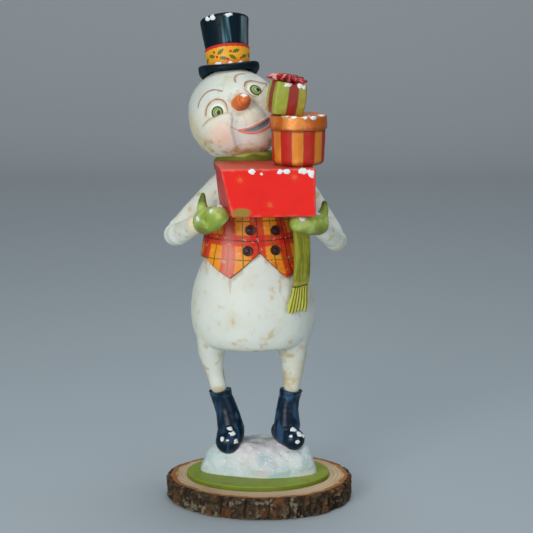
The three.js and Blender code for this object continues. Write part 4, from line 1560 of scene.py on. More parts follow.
    def build(self, wardrobe: Wardrobe) -> None:
        """Makes the head and the nose.

        Args:
            wardrobe: dresses the pieces.
        """
        line, cream = (0.22, 0.095, 0.04), (0.72, 0.70, 0.54)
        face = Paint(
            "face paint", (0.70, 0.74, 0.69), 0.55, coat=0.04, shine=0.2, brush=0.8,
            stains=(Stain(cream, 55.0, 0.48, 0.75, 0.7), Stain((0.56, 0.60, 0.54), 220.0, 0.52, 0.72, 0.55)),
            marks=(
                # sallow: painted shade at the face's sides and bottom
                Mark("cool", (0.56, 0.62, 0.56), 5.0, 0.75), Mark("sallow", (0.66, 0.57, 0.28), 1.6, 0.7),
                # pale: painted light over the muzzle and the chin
                Mark("pale", (0.84, 0.80, 0.66), 3.0, 0.7), Mark("blush", (0.80, 0.54, 0.40), 3.4, 0.7),
                # nose_stain: painted shadow of the nose
                Mark("nose_stain", (0.50, 0.37, 0.18), 2.4, 0.55),
                Mark("crease_shade", (0.50, 0.58, 0.57), 1.4, 0.6),
                Mark("sclera", (0.82, 0.82, 0.76), 0.5, 0.8),
                Mark("lid_shade", (0.64, 0.45, 0.28), 1.0, 0.65),
                Mark("crease", (0.46, 0.38, 0.28), 0.8, 0.35), Mark("iris_rim", (0.035, 0.085, 0.012), 0.2),
                Mark("iris", (0.30, 0.46, 0.10), 0.3), Mark("iris_core", (0.04, 0.07, 0.02), 0.3),
                Mark("iris_pale", (0.60, 0.58, 0.54), 0.35, 0.75), Mark("pupil", (0.006, 0.006, 0.006), 0.2),
                Mark("lid_low", line, 0.25, 0.8), Mark("lid_line", (0.17, 0.085, 0.04), 0.22, 0.85),
                Mark("brow", (0.34, 0.14, 0.07), 0.3, 0.85), Mark("lip_corner", line, 0.25, 0.7),
                Mark("mouth", (0.14, 0.23, 0.29), 0.2, 0.95), Mark("lips", (0.76, 0.21, 0.14), 0.25, 0.95),
                # grime: grime with painted shade low on the head; chin: painted shade on the chin
                Mark("grime", (0.54, 0.44, 0.24), 1.4, 0.4), Mark("chin", (0.40, 0.28, 0.15), 1.6, 0.65),
                Mark("jaw", (0.46, 0.28, 0.11), 1.0, 0.65),
            ),
            wash=(Stain((0.50, 0.38, 0.18), 420.0, 0.62, 0.74, 0.35),),
        )
        orange = Paint(
            "carrot", (0.74, 0.17, 0.03), 0.42, coat=0.2, brush=0.5,
            stains=(Stain((0.84, 0.30, 0.08), 160.0, 0.5, 0.75, 0.6),),
            marks=(
                Mark("under", (0.34, 0.06, 0.015), 2.0, 0.75), Mark("ring", (0.34, 0.05, 0.012), 0.3, 0.75),
                SNOW_MARK,
            ),
        )
        wardrobe.dress("head", self.surface(), face)
        wardrobe.dress("carrot_nose", self.nose(), orange, self.nose_dabs)


@dataclass
class Hat:
    """The top hat and its band with painted holly."""

    head: Head
    seat: float = 21.2
    hollow: float = 24.9
    brim: float = 16.5
    brim_z: float = 0.3
    brim_half: float = 1.9
    curl: float = 3.7
    bottom: float = 10.2
    top: float = 13.2
    height: float = 31.0
    rounding: float = 1.2
    band: Place = (2.6, 14.2)
    band_thickness: float = 0.4
    band_arm: float = 11.4
    sprays: int = 3
    leaves: tuple[Spot, ...] = (
        (-3.6, 10.0, 35.0), (4.6, 9.9, 20.0), (-9.2, 8.6, -20.0), (-2.4, 6.4, -12.0), (2.6, 6.6, -30.0),
        (9.6, 7.4, 25.0),
    )
    berries: Places = ((-5.9, 7.6), (1.6, 9.7), (7.4, 6.2), (-0.2, 5.6), (-7.4, 10.4))
    dabs: tuple[Dab, ...] = (
        Dab((-28.0, 7.8, 262.2), (1.5, 2.4, 1.0)), Dab((-25.4, 5.9, 263.2), (1.6, 1.6, 1.6)),
        Dab((-17.0, 4.9, 264.6), (2.4, 1.8, 0.9)),
    )
    foot_dabs: tuple[Dab, ...] = (
        Dab((-22.3, -1.8, 238.6), (2.2, 2.4, 1.4), 0.35), Dab((-15.4, -3.0, 239.4), (1.0, 2.0, 0.8), 0.35),
        Dab((-10.0, -1.2, 239.3), (1.6, 2.4, 1.1), 0.35),
    )

    def __post_init__(self) -> None:
        """Works out how the hat is turned and where its foot is."""
        self.turn = turn_about("x", -19.6) @ turn_about("y", -5.4)
        self.foot = np.asarray(self.head.centre) + self.turn @ np.array([0.0, 0.0, self.seat])

    def side(self, z: Array) -> Array:
        """The crown's radius at a height."""
        return self.bottom + (self.top - self.bottom) * z / self.height

    def surface(self) -> Surface:
        """A lathed profile: hollow under, round brim, flaring crown with a rounded, slightly dished top.

        The underside lies on the ball of the hollow, z = sqrt(hollow^2 - r^2) - seat; the brim rises
        by curl (x / brim)^2 times a smooth step outwards, so its left and right sides turn up.

        Returns:
            The hat in place, with fields for its painted reflection streaks, its painted sheen and its rubbed
            edges.
        """
        inner = np.linspace(0.3, self.brim - self.brim_half - 0.3, 24)
        under = np.stack([inner, np.sqrt(self.hollow**2 - inner**2) - self.seat], axis=1)
        edge = arc((self.brim - self.brim_half, self.brim_z), self.brim_half, -85, 90, 18)
        foot = arc((self.bottom + 1.2, self.brim_z + self.brim_half + 1.0), 1.0, 270, 180, 6)
        rim = arc((self.top - self.rounding, self.height - self.rounding), self.rounding, 0, 90, 8)
        dish = [[self.top - 2.4, -0.25], [self.top - 4.0, -0.5], [0.3, -0.6]]
        lid = np.asarray(dish) + [0.0, self.height]
        made = lathe(dense(np.concatenate([under, edge, foot, rim, lid]), 0.45), 300)
        p = made.points
        out = smooth(self.bottom + 1.0, self.brim, np.hypot(p[:, 0], p[:, 1])) * (p[:, 2] < self.bottom)
        lip = 1.5 * smooth(8.0, 15.5, -p[:, 0]) + 0.9 * smooth(8.0, 15.5, p[:, 0])
        lip = lip * smooth(0.8, -1.0, p[:, 2] - self.brim_z)
        p[:, 2] += out * (self.curl * (p[:, 0] / self.brim) ** 2 - lip)
        p = made.swell(0.16 * noise(p, 0.12, 71, 3) * smooth(1.0, 3.0, p[:, 2])).points
        angle = np.arctan2(p[:, 0], -p[:, 1])
        drawn = np.stack([angle * 13.0, p[:, 2] * 0.05, 0.0 * angle], axis=1)
        tall = smooth(12.0, 16.0, p[:, 2]) * smooth(30.3, 28.8, p[:, 2])
        front = bell(angle - 0.1, 0.3) + 0.7 * bell(angle - 0.95, 0.25)
        # painted sheen: a grey-blue sheen down the crown's right side
        made.fields["sheen"] = (1.1 + 0.6 * noise(drawn, 0.9, 74, 3)) * bell(angle - 1.0, 0.32) * tall - 0.7
        # painted reflection: blue streaks down the front and right of the crown
        streak = 0.9 * noise(drawn, 0.75, 72, 3) - 1.2 + 1.35 * front * tall
        made.fields["streak"] = np.where(tall > 0.01, streak, OFF)
        # rubbed blue patches on the felt
        made.fields["rub"] = 1.4 * noise(p * [1, 1, 0.4], 0.2, 73, 4) - 1.1
        return made.placed(self.turn, self.foot)

    def band_surface(self) -> Surface:
        """A thin ring round the crown, lathed, with the holly as fields of arc length and height.

        A leaf is an ellipse with shallow bites along each side, a berry a disc; the sprays
        repeat three times round the hat.

        Returns:
            The band in place.
        """
        low, high = self.band
        out = self.band_thickness + 0.3
        z = np.linspace(low, high, 70)
        lens = np.sqrt(np.clip(1.0 - ((z - low) / (high - low) * 2.0 - 1.0) ** 16, 0.0, 1.0))
        outside = np.stack([self.side(z) + 0.2 + (out - 0.2) * lens, z], axis=1)
        inside = np.stack([self.side(z[::-8]) - 0.5, z[::-8]], axis=1)
        made = lathe(np.concatenate([outside, inside]), 420, looped=True)
        p = made.points
        period = TURN / self.sprays * self.band_arm
        run = np.mod(np.arctan2(p[:, 0], -p[:, 1]) * self.band_arm + period / 2.0, period) - period / 2.0
        leaf, vein, berry = (np.full(len(p), OFF) for _ in range(3))
        for x, h, tilt in self.leaves:
            c, s = np.cos(np.radians(tilt)), np.sin(np.radians(tilt))
            u, v = (run - x) * c + (p[:, 2] - h) * s, (p[:, 2] - h) * c - (run - x) * s
            bite = 0.16 * np.cos(u * 4.8) * (np.abs(v) > 0.3)
            leaf = np.maximum(leaf, (1.0 - np.sqrt((u / 2.0) ** 2 + (v / 0.95) ** 2)) * 0.95 - bite)
            vein = np.maximum(vein, np.minimum(0.1 - np.abs(v), 1.5 - np.abs(u)))
        for x, h in self.berries:
            berry = np.maximum(berry, 0.72 - np.hypot(run - x, p[:, 2] - h))
        wave = 0.3 * np.abs(np.sin(run * 1.1))
        made.fields["leaf"], made.fields["vein"], made.fields["berry"] = leaf, vein, berry
        made.fields["trim"] = p[:, 2] - high + 1.9 - wave
        made.fields["foot"] = 5.4 - p[:, 2] + 0.8 * noise(p, 0.3, 74, 3)
        return made.placed(self.turn, self.foot)

    def build(self, wardrobe: Wardrobe) -> None:
        """Makes the hat and its band.

        Args:
            wardrobe: dresses the pieces.
        """
        gold = Paint(
            "band gold", (0.82, 0.38, 0.02), 0.45, coat=0.08, shine=0.25, brush=0.4,
            stains=(Stain((0.86, 0.52, 0.06), 150.0, 0.48, 0.7, 0.7),),
            marks=(
                Mark("foot", (0.62, 0.16, 0.015), 1.6, 0.75), Mark("leaf", (0.07, 0.15, 0.015), 0.16),
                Mark("vein", (0.22, 0.32, 0.06), 0.1, 0.6), Mark("berry", (0.55, 0.02, 0.012), 0.14),
                Mark("trim", (0.56, 0.03, 0.015), 0.2), SNOW_MARK,
            ),
        )
        felt = Paint(
            "hat navy", NAVY, 0.42, coat=0.02, shine=0.08, brush=0.3,
            marks=(
                # rub: rubbed patches here; sheen: painted sheen; streak: painted reflection streaks
                Mark("rub", (0.012, 0.03, 0.05), 0.6, 0.6), Mark("sheen", (0.17, 0.22, 0.24), 0.5, 0.8),
                Mark("streak", (0.10, 0.24, 0.30), 0.5, 0.85), SNOW_MARK,
            ),
        )
        wardrobe.dress("top_hat", self.surface(), felt, self.dabs + self.foot_dabs)
        wardrobe.dress("hat_band", self.band_surface(), gold, self.foot_dabs)


@dataclass
class Arms:
    """The white sleeves and the green mittens."""

    sleeves: dict[Side, tuple[Station, ...]] = field(default_factory=lambda: {
        Side.LEFT: (
            (-16, 3, 175.5, 7), (-21, 2, 173, 6.8), (-33, -0.5, 161, 6.3),
            (-45.4, -5, 148.2, 5.9), (-40.5, -15, 151, 5.5), (-34, -24.5, 156, 5.1),
        ),
        Side.RIGHT: (
            (15, 3, 176.5, 7), (21.5, 2, 174, 6.6), (31, 0, 160.5, 6),
            (40.6, -4.5, 144.8, 5.7), (38, -14, 148, 5.3), (33.5, -22.5, 153, 5),
        ),
    })
    palms: dict[Side, tuple[Station, ...]] = field(default_factory=lambda: {
        Side.LEFT: ((-28.6, -29, 158.4, 6.8), (-25.4, -35, 160.6, 6.6), (-21.8, -40, 163, 5.6)),
        Side.RIGHT: ((30.3, -30, 157.2, 5.9), (25.5, -35.5, 157.8, 5.4), (19.6, -40, 158.9, 4.3)),
    })
    thumbs: dict[Side, tuple[Station, ...]] = field(default_factory=lambda: {
        Side.LEFT: ((-29.3, -29.6, 161, 4.2), (-30.2, -28.2, 166.6, 2.8), (-29.9, -27.4, 172.2, 1.3)),
        Side.RIGHT: ((32.4, -29.5, 160, 3.2), (33.8, -28.6, 164.5, 2.3), (34, -28.4, 168, 1.4)),
    })
    dabs: dict[Side, tuple[Dab, ...]] = field(default_factory=lambda: {
        Side.LEFT: (
            Dab((-20.7, -40.5, 168.3), (1.7, 2.0, 1.2)), Dab((-25.3, -42.4, 166.0), (1.0, 1.5, 0.8)),
            Dab((-32.3, -35.6, 160.7), (1.5, 2.0, 1.3)),
        ),
        Side.RIGHT: (Dab((21.9, -41.9, 161.7), (1.7, 2.0, 1.0)), Dab((30.0, -31.8, 162.8), (1.6, 2.0, 1.1))),
    })

    def sleeve(self, side: Side) -> Surface:
        """A limb with faint folds in the bend of the elbow and a slow unevenness.

        Args:
            side: which arm.

        Returns:
            The sleeve, with fields for its cuff, its washes and a painted shade low on the arm.
        """
        made = limb(self.sleeves[side], 72, 170)
        to_end = made.fields.pop("to_end")
        folds = 0.25 * np.sin(to_end * 1.1) * bell(to_end - 24.0, 9.0)
        p = made.swell(folds + 0.3 * noise(made.points, 0.1, 81, 3)).points
        if side is Side.LEFT:
            made.fields["cuff"] = 1.3 - np.abs(to_end - 0.6) + 0.5 * noise(p, 0.3, 80, 2)
        # painted shade: the low part of the arm, round the elbow, is darker
        under = smooth(154.0, 140.0, p[:, 2])
        made.fields["grime"] = 1.8 * noise(p, 0.13, 82, 4) - 1.0 + 0.9 * under
        made.fields["ochre"] = 1.9 * noise(p, 0.25, 85, 3) - 1.25 + 0.5 * bell(to_end - 6.0, 6.0)
        return made

    def mitten(self, side: Side) -> Surface:
        """Melts palm and thumb together.

        Args:
            side: which hand.

        Returns:
            The mitten, with fields for pale patches and a painted highlight on its top, a painted shade
            underneath and a painted shadow on its thumb.
        """
        made = fused([limb(self.palms[side]), limb(self.thumbs[side])], 0.36, 9)
        p = made.points
        made.swell(0.25 * noise(p, 0.16, 83, 3))
        # painted shade: brown under the mitten
        made.fields["low"] = 155.5 - p[:, 2] + 2.5 * noise(p, 0.2, 84, 3)
        # pale patches, with a painted highlight over the top
        made.fields["patch"] = 1.6 * noise(p, 0.16, 86, 3) - 0.4 + 0.5 * smooth(160.0, 166.0, p[:, 2])
        # painted shadow: the thumb's upper part is dark
        made.fields["thumb"] = p[:, 2] - 168.0 + 0.8 * noise(p, 0.3, 87, 2)
        return made

    def build(self, wardrobe: Wardrobe, white: Paint) -> None:
        """Makes sleeves and mittens.

        Args:
            wardrobe: dresses the pieces.
            white: the sleeves' finish.
        """
        knit = Paint(
            "mitten green", (0.27, 0.38, 0.055), 0.5, shine=0.22, brush=0.6,
            stains=(Stain((0.15, 0.22, 0.025), 170.0, 0.55, 0.75, 0.7),),
            marks=(
                # patch: pale patches and a painted highlight on top; low: painted shade; thumb: painted
                # shadow
                Mark("patch", (0.48, 0.60, 0.18), 0.6, 0.75), Mark("low", (0.19, 0.15, 0.02), 2.5, 0.7),
                Mark("thumb", (0.06, 0.10, 0.012), 1.6, 0.8), Mark("snow", (0.62, 0.68, 0.46), 2.4, 0.8),
                SNOW_MARK,
            ),
        )
        for side in Side:
            arm, hand = f"arm_{side.value}", f"mitten_{side.value}"
            wardrobe.dress(arm, self.sleeve(side), white)
            wardrobe.dress(hand, self.mitten(side), knit, self.dabs[side])


# The gifts


@dataclass
class Gifts:
    """The red box, the striped round box with its lid, and the green box with its bow."""

    red_at: Spot = (2.5, -33.4, 163.9)
    red_size: Spot = (49.4, 34.5, 25.1)
    red_slant: Place = (6.2, 2.4)
    red_turn: float = 6.2
    round_at: Place = (20.1, -30.5)
    round_z: float = 189.0
    round_radii: Place = (13.6, 14.2)
    round_height: float = 18.8
    lid_z: float = 207.8
    lid_radius: float = 14.9
    lid_height: float = 7.2
    stripes: int = 7
    gold_half: float = 3.2
    green_at: Spot = (12.7, -30.5, 215.0)
    green_size: Spot = (15.8, 12.6, 17.2)
    green_bulge: float = 0.9
    green_turn: float = 20.0
    green_roll: float = 8.0
    bow_x: float = -0.6
    bow_radius: float = 10.4
    bow_depth: float = 8.0
    bow_middle: float = 1.8
    stars: Places = ((-14.5, 19.6), (13.6, 20.7), (0.9, 6.4))
    dabs: dict[str, tuple[Dab, ...]] = field(default_factory=lambda: {
        "red_gift_box": (
            Dab((-3.9, -51.5, 187.7), (1.6, 2.0, 1.3)), Dab((1.2, -50.9, 186.4), (0.8, 1.2, 0.7)),
            Dab((10.4, -49.9, 187.5), (1.6, 2.0, 1.2)), Dab((14.0, -49.5, 187.5), (1.7, 2.0, 1.2)),
            Dab((22.2, -48.6, 187.6), (2.6, 2.2, 1.5)), Dab((26.6, -47.9, 186.2), (1.4, 2.2, 2.2)),
        ),
        "round_gift_lid": (
            Dab((14.0, -41.5, 215.0), (2.6, 1.7, 0.9)), Dab((17.4, -43.9, 214.9), (1.6, 1.4, 1.0)),
            Dab((23.3, -44.4, 214.9), (1.4, 1.6, 1.0)), Dab((27.9, -42.9, 214.6), (2.0, 1.8, 1.2)),
            Dab((31.8, -36.5, 214.9), (1.7, 2.6, 1.0)), Dab((25.5, -40.5, 215.0), (1.2, 1.2, 0.8)),
        ),
        "green_gift_box": (
            Dab((14.6, -37.2, 231.0), (2.4, 1.6, 1.1)), Dab((20.6, -35.0, 230.2), (2.0, 1.6, 1.1)),
            Dab((22.9, -34.0, 229.2), (1.0, 1.4, 1.2)),
        ),
    })

    def red_box(self) -> Surface:
        """A rounded box whose left side leans in towards the bottom, softly dented by noise.

        A star's field is the widest of four thin rays crossing its centre, each narrowing outwards.

        Returns:
            The box in place, with fields for stars, rubbed edges with a painted highlight, a green smudge,
            and painted shade on its top and sides.
        """
        width, depth, height = self.red_size
        made = rounded_box(self.red_size, 1.0, 0.42)
        p = made.points
        half = np.asarray(self.red_size) / 2
        inside = (half - np.abs(p - [0.0, 0.0, height / 2])).T
        edge = np.sort(inside, axis=0)[1]
        front = p[:, 1] < 1.2 - depth / 2.0
        slant = self.red_slant[1] + (self.red_slant[0] - self.red_slant[1]) * (0.5 - p[:, 1] / depth)
        p[:, 0] += slant * (0.5 - p[:, 0] / width) * (1.0 - p[:, 2] / height)
        p = made.swell(0.22 * noise(p, 0.08, 91, 3)).points
        star = np.full(len(p), OFF)
        for x, z in self.stars:
            for tilt in np.radians([10.0, 55.0, 100.0, 145.0]):
                u = (p[:, 0] - x) * np.cos(tilt) + (p[:, 2] - z) * np.sin(tilt)
                v = (p[:, 2] - z) * np.cos(tilt) - (p[:, 0] - x) * np.sin(tilt)
                star = np.maximum(star, 0.36 * (1.0 - np.abs(u) / 3.2) - np.abs(v))
        smudge = 2.6 * (1.0 - np.hypot((p[:, 0] + 13.6) / 4.9, (p[:, 2] - 2.3) / 2.4))
        smudge = smudge + 0.6 * noise(p, 0.3, 90, 3)
        f = made.fields
        f["star"] = np.where(front, star, OFF)
        f["smudge"] = np.where(front, smudge, OFF)
        # rubbed edges with a painted highlight along them
        f["worn"] = 0.6 - edge + 1.1 * noise(p, 0.3, 92, 3)
        # painted shade and a painted whitish reflection over the top face
        f["lid_face"] = p[:, 2] - height + 0.6
        # painted shade on the left and right faces
        f["side_face"] = np.where(front, OFF, 1.0 - inside[0])
        return made.placed(turn_about("z", self.red_turn), self.red_at)

    def round_box(self) -> Surface:
        """A lathed cup with a rounded foot; stripes are fields of arc length.

        Returns:
            The box in place, with fields for its stripes, its shades, a painted shade round its foot and a
            painted shadow under the lid.
        """
        low, high = self.round_radii
        foot = arc((low - 3.0, 3.0), 3.0, -90, 0, 12)
        top = [[high, self.round_height], [0.3, self.round_height]]
        made = lathe(dense(np.concatenate([[[0.3, 0.0]], foot, top]), 0.6), 300)
        p = made.points
        p = made.swell(0.15 * noise(p, 0.12, 93, 3) * smooth(18.6, 17.0, p[:, 2])).points
        share = (np.arctan2(p[:, 0], -p[:, 1]) + np.radians(2.5)) * self.stripes / TURN
        off = np.abs(np.mod(share + 0.5, 1.0) - 0.5) * TURN / self.stripes * high + 0.2 * noise(p, 0.3, 94, 2)
        f = made.fields
        f["stripe"] = off - self.gold_half
        f["outline"] = 0.2 - np.abs(off - self.gold_half)
        f["shade"] = 1.2 * noise(p * [1, 1, 0.3], 0.3, 89, 3) - 0.35
        # painted shade round the rounded foot
        f["foot"] = 2.0 - p[:, 2] + 0.6 * noise(p, 0.3, 88, 2)
        # painted shadow under the lid's overhang
        f["under_lid"] = p[:, 2] - 17.8
        p += [*self.round_at, self.round_z]
        return made

    def lid(self) -> Surface:
        """A lathed disc with a soft rim, slightly dented by noise.

        Returns:
            The lid in place, with fields for rubbed parts with a painted highlight on the front left, and its
            dark parts.
        """
        r, h = self.lid_radius, self.lid_height
        rim = arc((r - 1.0, h - 1.0), 1.0, 0, 90, 10)
        foot = arc((r - 0.5, 0.5), 0.5, -90, 0, 6)
        made = lathe(dense(np.concatenate([[[0.3, 0.0]], foot, rim, [[0.3, h]]]), 0.42), 300)
        p = made.points
        dents = 0.2 * noise(p, 0.14, 95, 3) * smooth(0.0, 1.0, p[:, 2]) * smooth(7.3, 6.6, p[:, 2])
        p = made.swell(dents).points
        # painted highlight: a bright patch on the lid's front left, mixed with rubbed patches
        lit = bell(np.arctan2(p[:, 0] + 4.0, -p[:, 1]), 0.3)
        made.fields["worn"] = 1.5 * noise(p * [1, 1, 0.5], 0.25, 96, 4) - 0.4 + 0.9 * lit
        made.fields["dark"] = 1.2 - p[:, 2] + 0.8 * noise(p, 0.3, 97, 2)
        p += [*self.round_at, self.lid_z]
        return made

    def green_box(self) -> Surface:
        """A rounded box, swelling as 1 + 2 bulge / width sin(pi z / h).

        Returns:
            The box in place, with fields for its ribbons and a darker yellow towards its lower right.
        """
        width, _, height = self.green_size
        made = rounded_box(self.green_size, 1.1, 0.36)
        p = made.points
        normal = made.normals()
        on_front = np.abs(normal[:, 1]) > np.abs(normal[:, 0])
        aside = np.where(on_front, np.abs(p[:, 0] - 0.9 * np.sign(-p[:, 1])), np.abs(p[:, 1]))
        made.fields["ribbon"] = 2.3 - aside
        made.fields["ribbon_edge"] = 0.3 - np.abs(made.fields["ribbon"])
        # darker yellow towards the lower right, broken up by noise
        made.fields["ripe"] = 0.35 * p[:, 0] - 0.2 * (p[:, 2] - 8.0) - 1.0 + 2.0 * noise(p, 0.2, 98, 3)
        p[:, :2] *= (1.0 + 2.0 * self.green_bulge / width * np.sin(np.pi * p[:, 2] / height))[:, None]
        made.points = p + normal * (0.18 * noise(p, 0.2, 99, 3))[:, None]
        turn = turn_about("y", self.green_roll) @ turn_about("z", self.green_turn)
        return made.placed(turn, self.green_at)

    def lobe(self, angle: float, share: float, level: float, thick: float) -> Surface:
        """A loop of the bow as a drop-shaped limb from the knot outwards, pressed flat.

        Args:
            angle: which way it points, in radians.
            share: how far out it goes, as a share of the bow's oval.
            level: the height of its outer end.
            thick: its greatest radius.

        Returns:
            The loop about the bow's centre.
        """
        oval = 1.0 / np.hypot(np.cos(angle) / self.bow_radius, np.sin(angle) / self.bow_depth)
        reach = share * oval * (1.0 + 0.1 * max(0.0, -np.cos(angle))) - thick
        out = np.array([np.cos(angle), np.sin(angle)])
        drop = ((0.1, 0.5), (0.45, 0.8), (0.8, 1.0), (1.0, 0.95))
        rows = [(*(out * reach * t), level, thick * r) for t, r in drop]
        made = limb(rows, 32, 30)
        made.fields.clear()
        made.points[:, 2] = level + (made.points[:, 2] - level) * 0.72
        return made

    def bow(self) -> Surface:
        """Three layers of loops and a knot melted together.

        Returns:
            The bow in place, with fields for a painted highlight on the loops' tops and painted shade in the
            hollows between them.
        """
        rounds = ((12, 30.0, 4.0), (11, 32.7, 15.0), (7, 51.4, 25.0))
        low, mid, high = (np.radians(np.arange(n) * apart + start) for n, apart, start in rounds)
        lower = [self.lobe(a, 1.0, 1.2 + 0.35 * np.sin(5.0 * a), 1.3) for a in low]
        middle = [self.lobe(a, 0.84, 2.2 + 0.3 * np.sin(7.0 * a), 1.2) for a in mid]
        upper = [self.lobe(a, 0.55, 3.1, 1.1) for a in high]
        knot = lathe(arc((0.0, 0.0), 1.0, -86, 86, 23), 40)
        knot.points = knot.points * [2.2, 2.0, 1.3] + [0.0, 0.0, self.bow_middle + 0.9]
        made = fused([*lower, *middle, *upper, knot], 0.26, 2)
        p = made.points
        angle = np.arctan2(p[:, 1], p[:, 0])
        # painted highlight on the loops, strongest at the left end
        made.fields["shine"] = 0.5 * np.cos(angle * 12.0 - 0.6) - 0.16 * p[:, 0] - 1.5
        made.fields["shine"] += 1.6 * noise(p, 0.4, 101, 3)
        # painted shade between the loops
        made.fields["deep"] = 0.7 * np.cos(angle * 12.0 + 2.6) - 0.1 + 1.2 * noise(p, 0.35, 102, 2)
        turn = turn_about("y", self.green_roll)
        seat = turn @ np.array([self.bow_x, 0.0, self.green_size[2]])
        return made.placed(turn, seat + np.asarray(self.green_at))

    def build(self, wardrobe: Wardrobe) -> None:
        """Makes the five pieces.

        Args:
            wardrobe: dresses the pieces.
        """
        red = Paint(
            "gift red", (0.84, 0.018, 0.012), 0.45, coat=0.05, shine=0.18, brush=0.4,
            stains=(Stain((0.74, 0.014, 0.01), 70.0, 0.5, 0.75, 0.6),),
            marks=(
                # side_face and lid_face: painted shade on sides and top, with a painted reflection on top;
                # worn: rubbed edges with a painted highlight
                Mark("side_face", (0.52, 0.016, 0.012), 0.6, 0.8),
                Mark("lid_face", (0.60, 0.105, 0.07), 0.6, 0.8), Mark("worn", (0.86, 0.18, 0.14), 0.8, 0.5),
                Mark("smudge", (0.22, 0.24, 0.045), 0.8, 0.85), Mark("star", (0.72, 0.18, 0.045), 0.2, 0.6),
                SNOW_MARK,
            ),
        )
        striped = Paint(
            "gift stripes", (0.72, 0.235, 0.025), 0.42, coat=0.06, shine=0.22, brush=0.5,
            stains=(Stain((0.84, 0.36, 0.06), 120.0, 0.5, 0.7, 0.7),),
            marks=(
                Mark("stripe", (0.48, 0.008, 0.008), 0.18, 0.97),
                Mark("shade", (0.26, 0.05, 0.01), 0.8, 0.3), Mark("outline", (0.22, 0.035, 0.01), 0.15, 0.6),
                Mark("foot", (0.22, 0.02, 0.012), 1.2, 0.65),
                # foot: painted shade round the foot; under_lid: painted shadow under the lid
                Mark("under_lid", (0.16, 0.03, 0.008), 0.7, 0.75),
            ),
        )
        copper = Paint(
            "gift copper", (0.58, 0.135, 0.014), 0.38, metallic=0.25, coat=0.1, brush=0.5,
            marks=(
                # worn: rubbed copper with a painted highlight on the front left
                Mark("worn", (0.77, 0.30, 0.065), 0.8, 0.75), Mark("dark", (0.34, 0.07, 0.01), 0.8, 0.75),
                SNOW_MARK,
            ),
        )
        green = Paint(
            "gift green", (0.34, 0.38, 0.045), 0.42, coat=0.08, shine=0.25, brush=0.4,
            stains=(Stain((0.42, 0.48, 0.10), 130.0, 0.5, 0.7, 0.6),),
            marks=(
                Mark("ripe", (0.32, 0.20, 0.02), 1.6, 0.75),
                Mark("ribbon_edge", (0.09, 0.03, 0.005), 0.2, 0.8),
                Mark("ribbon", (0.30, 0.01, 0.01), 0.14, 0.97), SNOW_MARK,
            ),
        )
        satin = Paint(
            "bow red", (0.40, 0.01, 0.013), 0.28, coat=0.3,
            marks=(
                # deep: painted shade between the loops; shine: painted highlight on their tops
                Mark("deep", (0.14, 0.003, 0.006), 0.6, 0.9), Mark("shine", (0.88, 0.40, 0.36), 0.4, 0.75),
            ),
        )
        plan = {
            "red_gift_box": (self.red_box(), red, "gift_red"),
            "round_gift_box": (self.round_box(), striped, "gift_stripes"),
            "round_gift_lid": (self.lid(), copper, "gift_copper"),
            "green_gift_box": (self.green_box(), green, "gift_green"),
            "gift_bow": (self.bow(), satin, "bow_red"),
        }
        for name, (surface, paint, slot) in plan.items():
            wardrobe.dress(name, surface, paint, self.dabs.get(name, ()))


# The studio


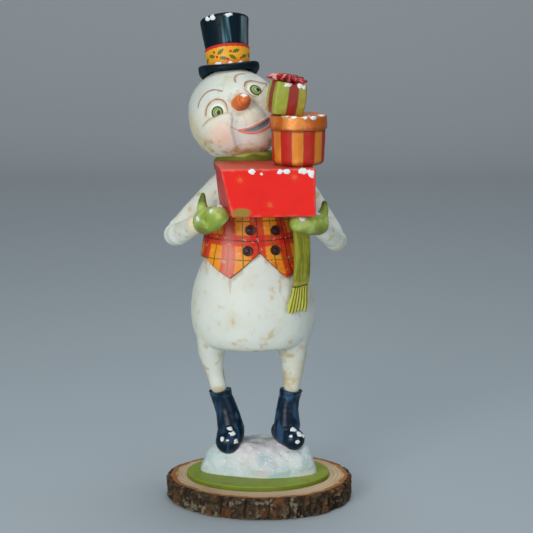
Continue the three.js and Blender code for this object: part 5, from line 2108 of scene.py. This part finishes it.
@dataclass
class Studio:
    """A pale floor that curves up behind, soft lights and the camera."""

    eye: Spot = (3.5, -1068.5, 323.2)
    pitch: float = 10.3
    lens: float = 135.1
    floor_half: float = 8500.0
    front: float = -8500.0
    bend_at: float = 1300.0
    bend_radius: float = 500.0
    wall: float = 1500.0
    far_from: float = 1200.0
    far_blur: float = 900.0
    lights: tuple[tuple[str, Spot, float, float, Color], ...] = (
        ("key", (-0.52, -1.1, 0.44), 0.6, 10.0, (1.0, 0.98, 0.95)),
        ("fill", (0.7, -1.05, 0.12), 0.8, 4.2, (0.95, 0.98, 1.0)),
        ("top", (0.1, 0.1, 1.1), 0.7, 5.0, (1.0, 1.0, 1.0)),
    )
    aim: Spot = (0.0, 0.0, 0.13)
    sky: Color = (0.85, 0.92, 1.0)
    sky_strength: float = 0.22
    sensor: float = 36.0
    sight: float = 10.0

    def floor(self) -> Surface:
        """A sheet swept along X: flat, then a quarter circle, then an upright wall.

        Returns:
            The sheet, with a field for a painted light that grows towards the back.
        """
        bend = np.radians(np.linspace(0.0, 90.0, 40))
        flat = np.linspace(self.front, self.bend_at, 24)[:-1]
        r = self.bend_radius
        y = np.concatenate([flat, self.bend_at + r * np.sin(bend), [self.bend_at + r]])
        z = np.concatenate([0.0 * flat, r * (1.0 - np.cos(bend)), [self.wall + r]])
        x = np.array([-self.floor_half, self.floor_half])
        grid = np.stack([np.repeat(x, len(y)), np.tile(y, 2), np.tile(z, 2) - 0.05], axis=1)
        row = np.arange(len(y) - 1)
        quads = np.stack([row, row + len(y), row + len(y) + 1, row + 1], axis=1)
        made = Surface(grid, quads, NO_TRIS)
        made.fields["far"] = np.tile(y, 2) - self.far_from
        return made

    def light(self, name: str, at: Spot, size: float, power: float, color: Color) -> None:
        """Hangs a square soft light that looks at the figurine's middle.

        Args:
            name: the light's name.
            at: where it hangs, in metres.
            size: the length of its sides, in metres.
            power: in watts.
            color: its colour.
        """
        lamp = bpy.data.lights.new(name, "AREA")
        lamp.size, lamp.energy, lamp.color = size, power, color
        hung = bpy.data.objects.new(name, lamp)
        hung.location = at
        x, y, z = np.asarray(self.aim) - np.asarray(at)
        hung.rotation_euler = (np.arctan2(np.hypot(x, y), -z), 0.0, np.arctan2(-x, y))
        bpy.context.scene.collection.objects.link(hung)

    def build(self) -> None:
        """Sets floor, lights, world and camera."""
        scene = bpy.context.scene
        floor = make_object("floor", self.floor())
        # painted light: the floor and wall turn paler towards the back
        far = Mark("far", (0.66, 0.70, 0.72), self.far_blur)
        pale = Paint("floor", (0.41, 0.48, 0.52), 0.6, shine=0.2, marks=(far,))
        floor.data.materials.append(pale.material())
        for light in self.lights:
            self.light(*light)
        world = bpy.data.worlds.new("studio")
        world.use_nodes = True
        sky = world.node_tree.nodes["Background"].inputs
        sky["Color"].default_value = (*self.sky, 1.0)
        sky["Strength"].default_value = self.sky_strength
        scene.world = world
        lens = bpy.data.cameras.new("camera")
        lens.lens, lens.sensor_width, lens.clip_end = self.lens, self.sensor, self.sight
        camera = bpy.data.objects.new("camera", lens)
        camera.location = tuple(c * MM for c in self.eye)
        camera.rotation_euler = (np.radians(90.0 - self.pitch), 0.0, 0.0)
        scene.collection.objects.link(camera)
        scene.camera = camera
        scene.view_settings.view_transform = "Standard"


def main() -> None:
    """Builds the pieces from the base upwards, then the studio."""
    logging.basicConfig(level=logging.INFO, format="%(name)s %(message)s")
    wardrobe = Wardrobe()
    white = Paint(
        "white paint", (0.70, 0.75, 0.69), 0.55, coat=0.04, shine=0.2, brush=0.8,
        stains=(
            Stain((0.70, 0.70, 0.56), 45.0, 0.5, 0.78, 0.6),
            Stain((0.60, 0.65, 0.60), 200.0, 0.55, 0.75, 0.5),
        ),
        marks=(
            # grime: cloudy grime with painted shade on the body's right side, low down and under the sleeves
            Mark("grime", (0.60, 0.54, 0.34), 1.2, 0.5), Mark("rust", (0.42, 0.24, 0.09), 0.6, 0.5),
            Mark("ochre", (0.56, 0.38, 0.13), 0.6, 0.55), Mark("cuff", (0.76, 0.68, 0.46), 0.5, 0.85),
        ),
        wash=(Stain((0.48, 0.34, 0.14), 380.0, 0.65, 0.75, 0.4),),
    )
    navy = Paint(
        "navy gloss", (0.003, 0.014, 0.03), 0.32, coat=0.04, shine=0.16, brush=0.12,
        # rub: blue painted sheen on the boots
        marks=(Mark("rub", (0.035, 0.09, 0.18), 0.6, 0.75), SNOW_MARK),
    )
    BranchSlice().build(wardrobe)
    Ground().build(wardrobe)
    body = Body()
    vest = Vest(body)
    body.build(wardrobe, white, vest)
    Boots().build(wardrobe, navy)
    vest.build(wardrobe)
    Scarf().build(wardrobe)
    head = Head()
    head.build(wardrobe)
    Hat(head).build(wardrobe)
    Arms().build(wardrobe, white)
    Gifts().build(wardrobe)
    Studio().build()


if __name__ == "__main__":
    main()
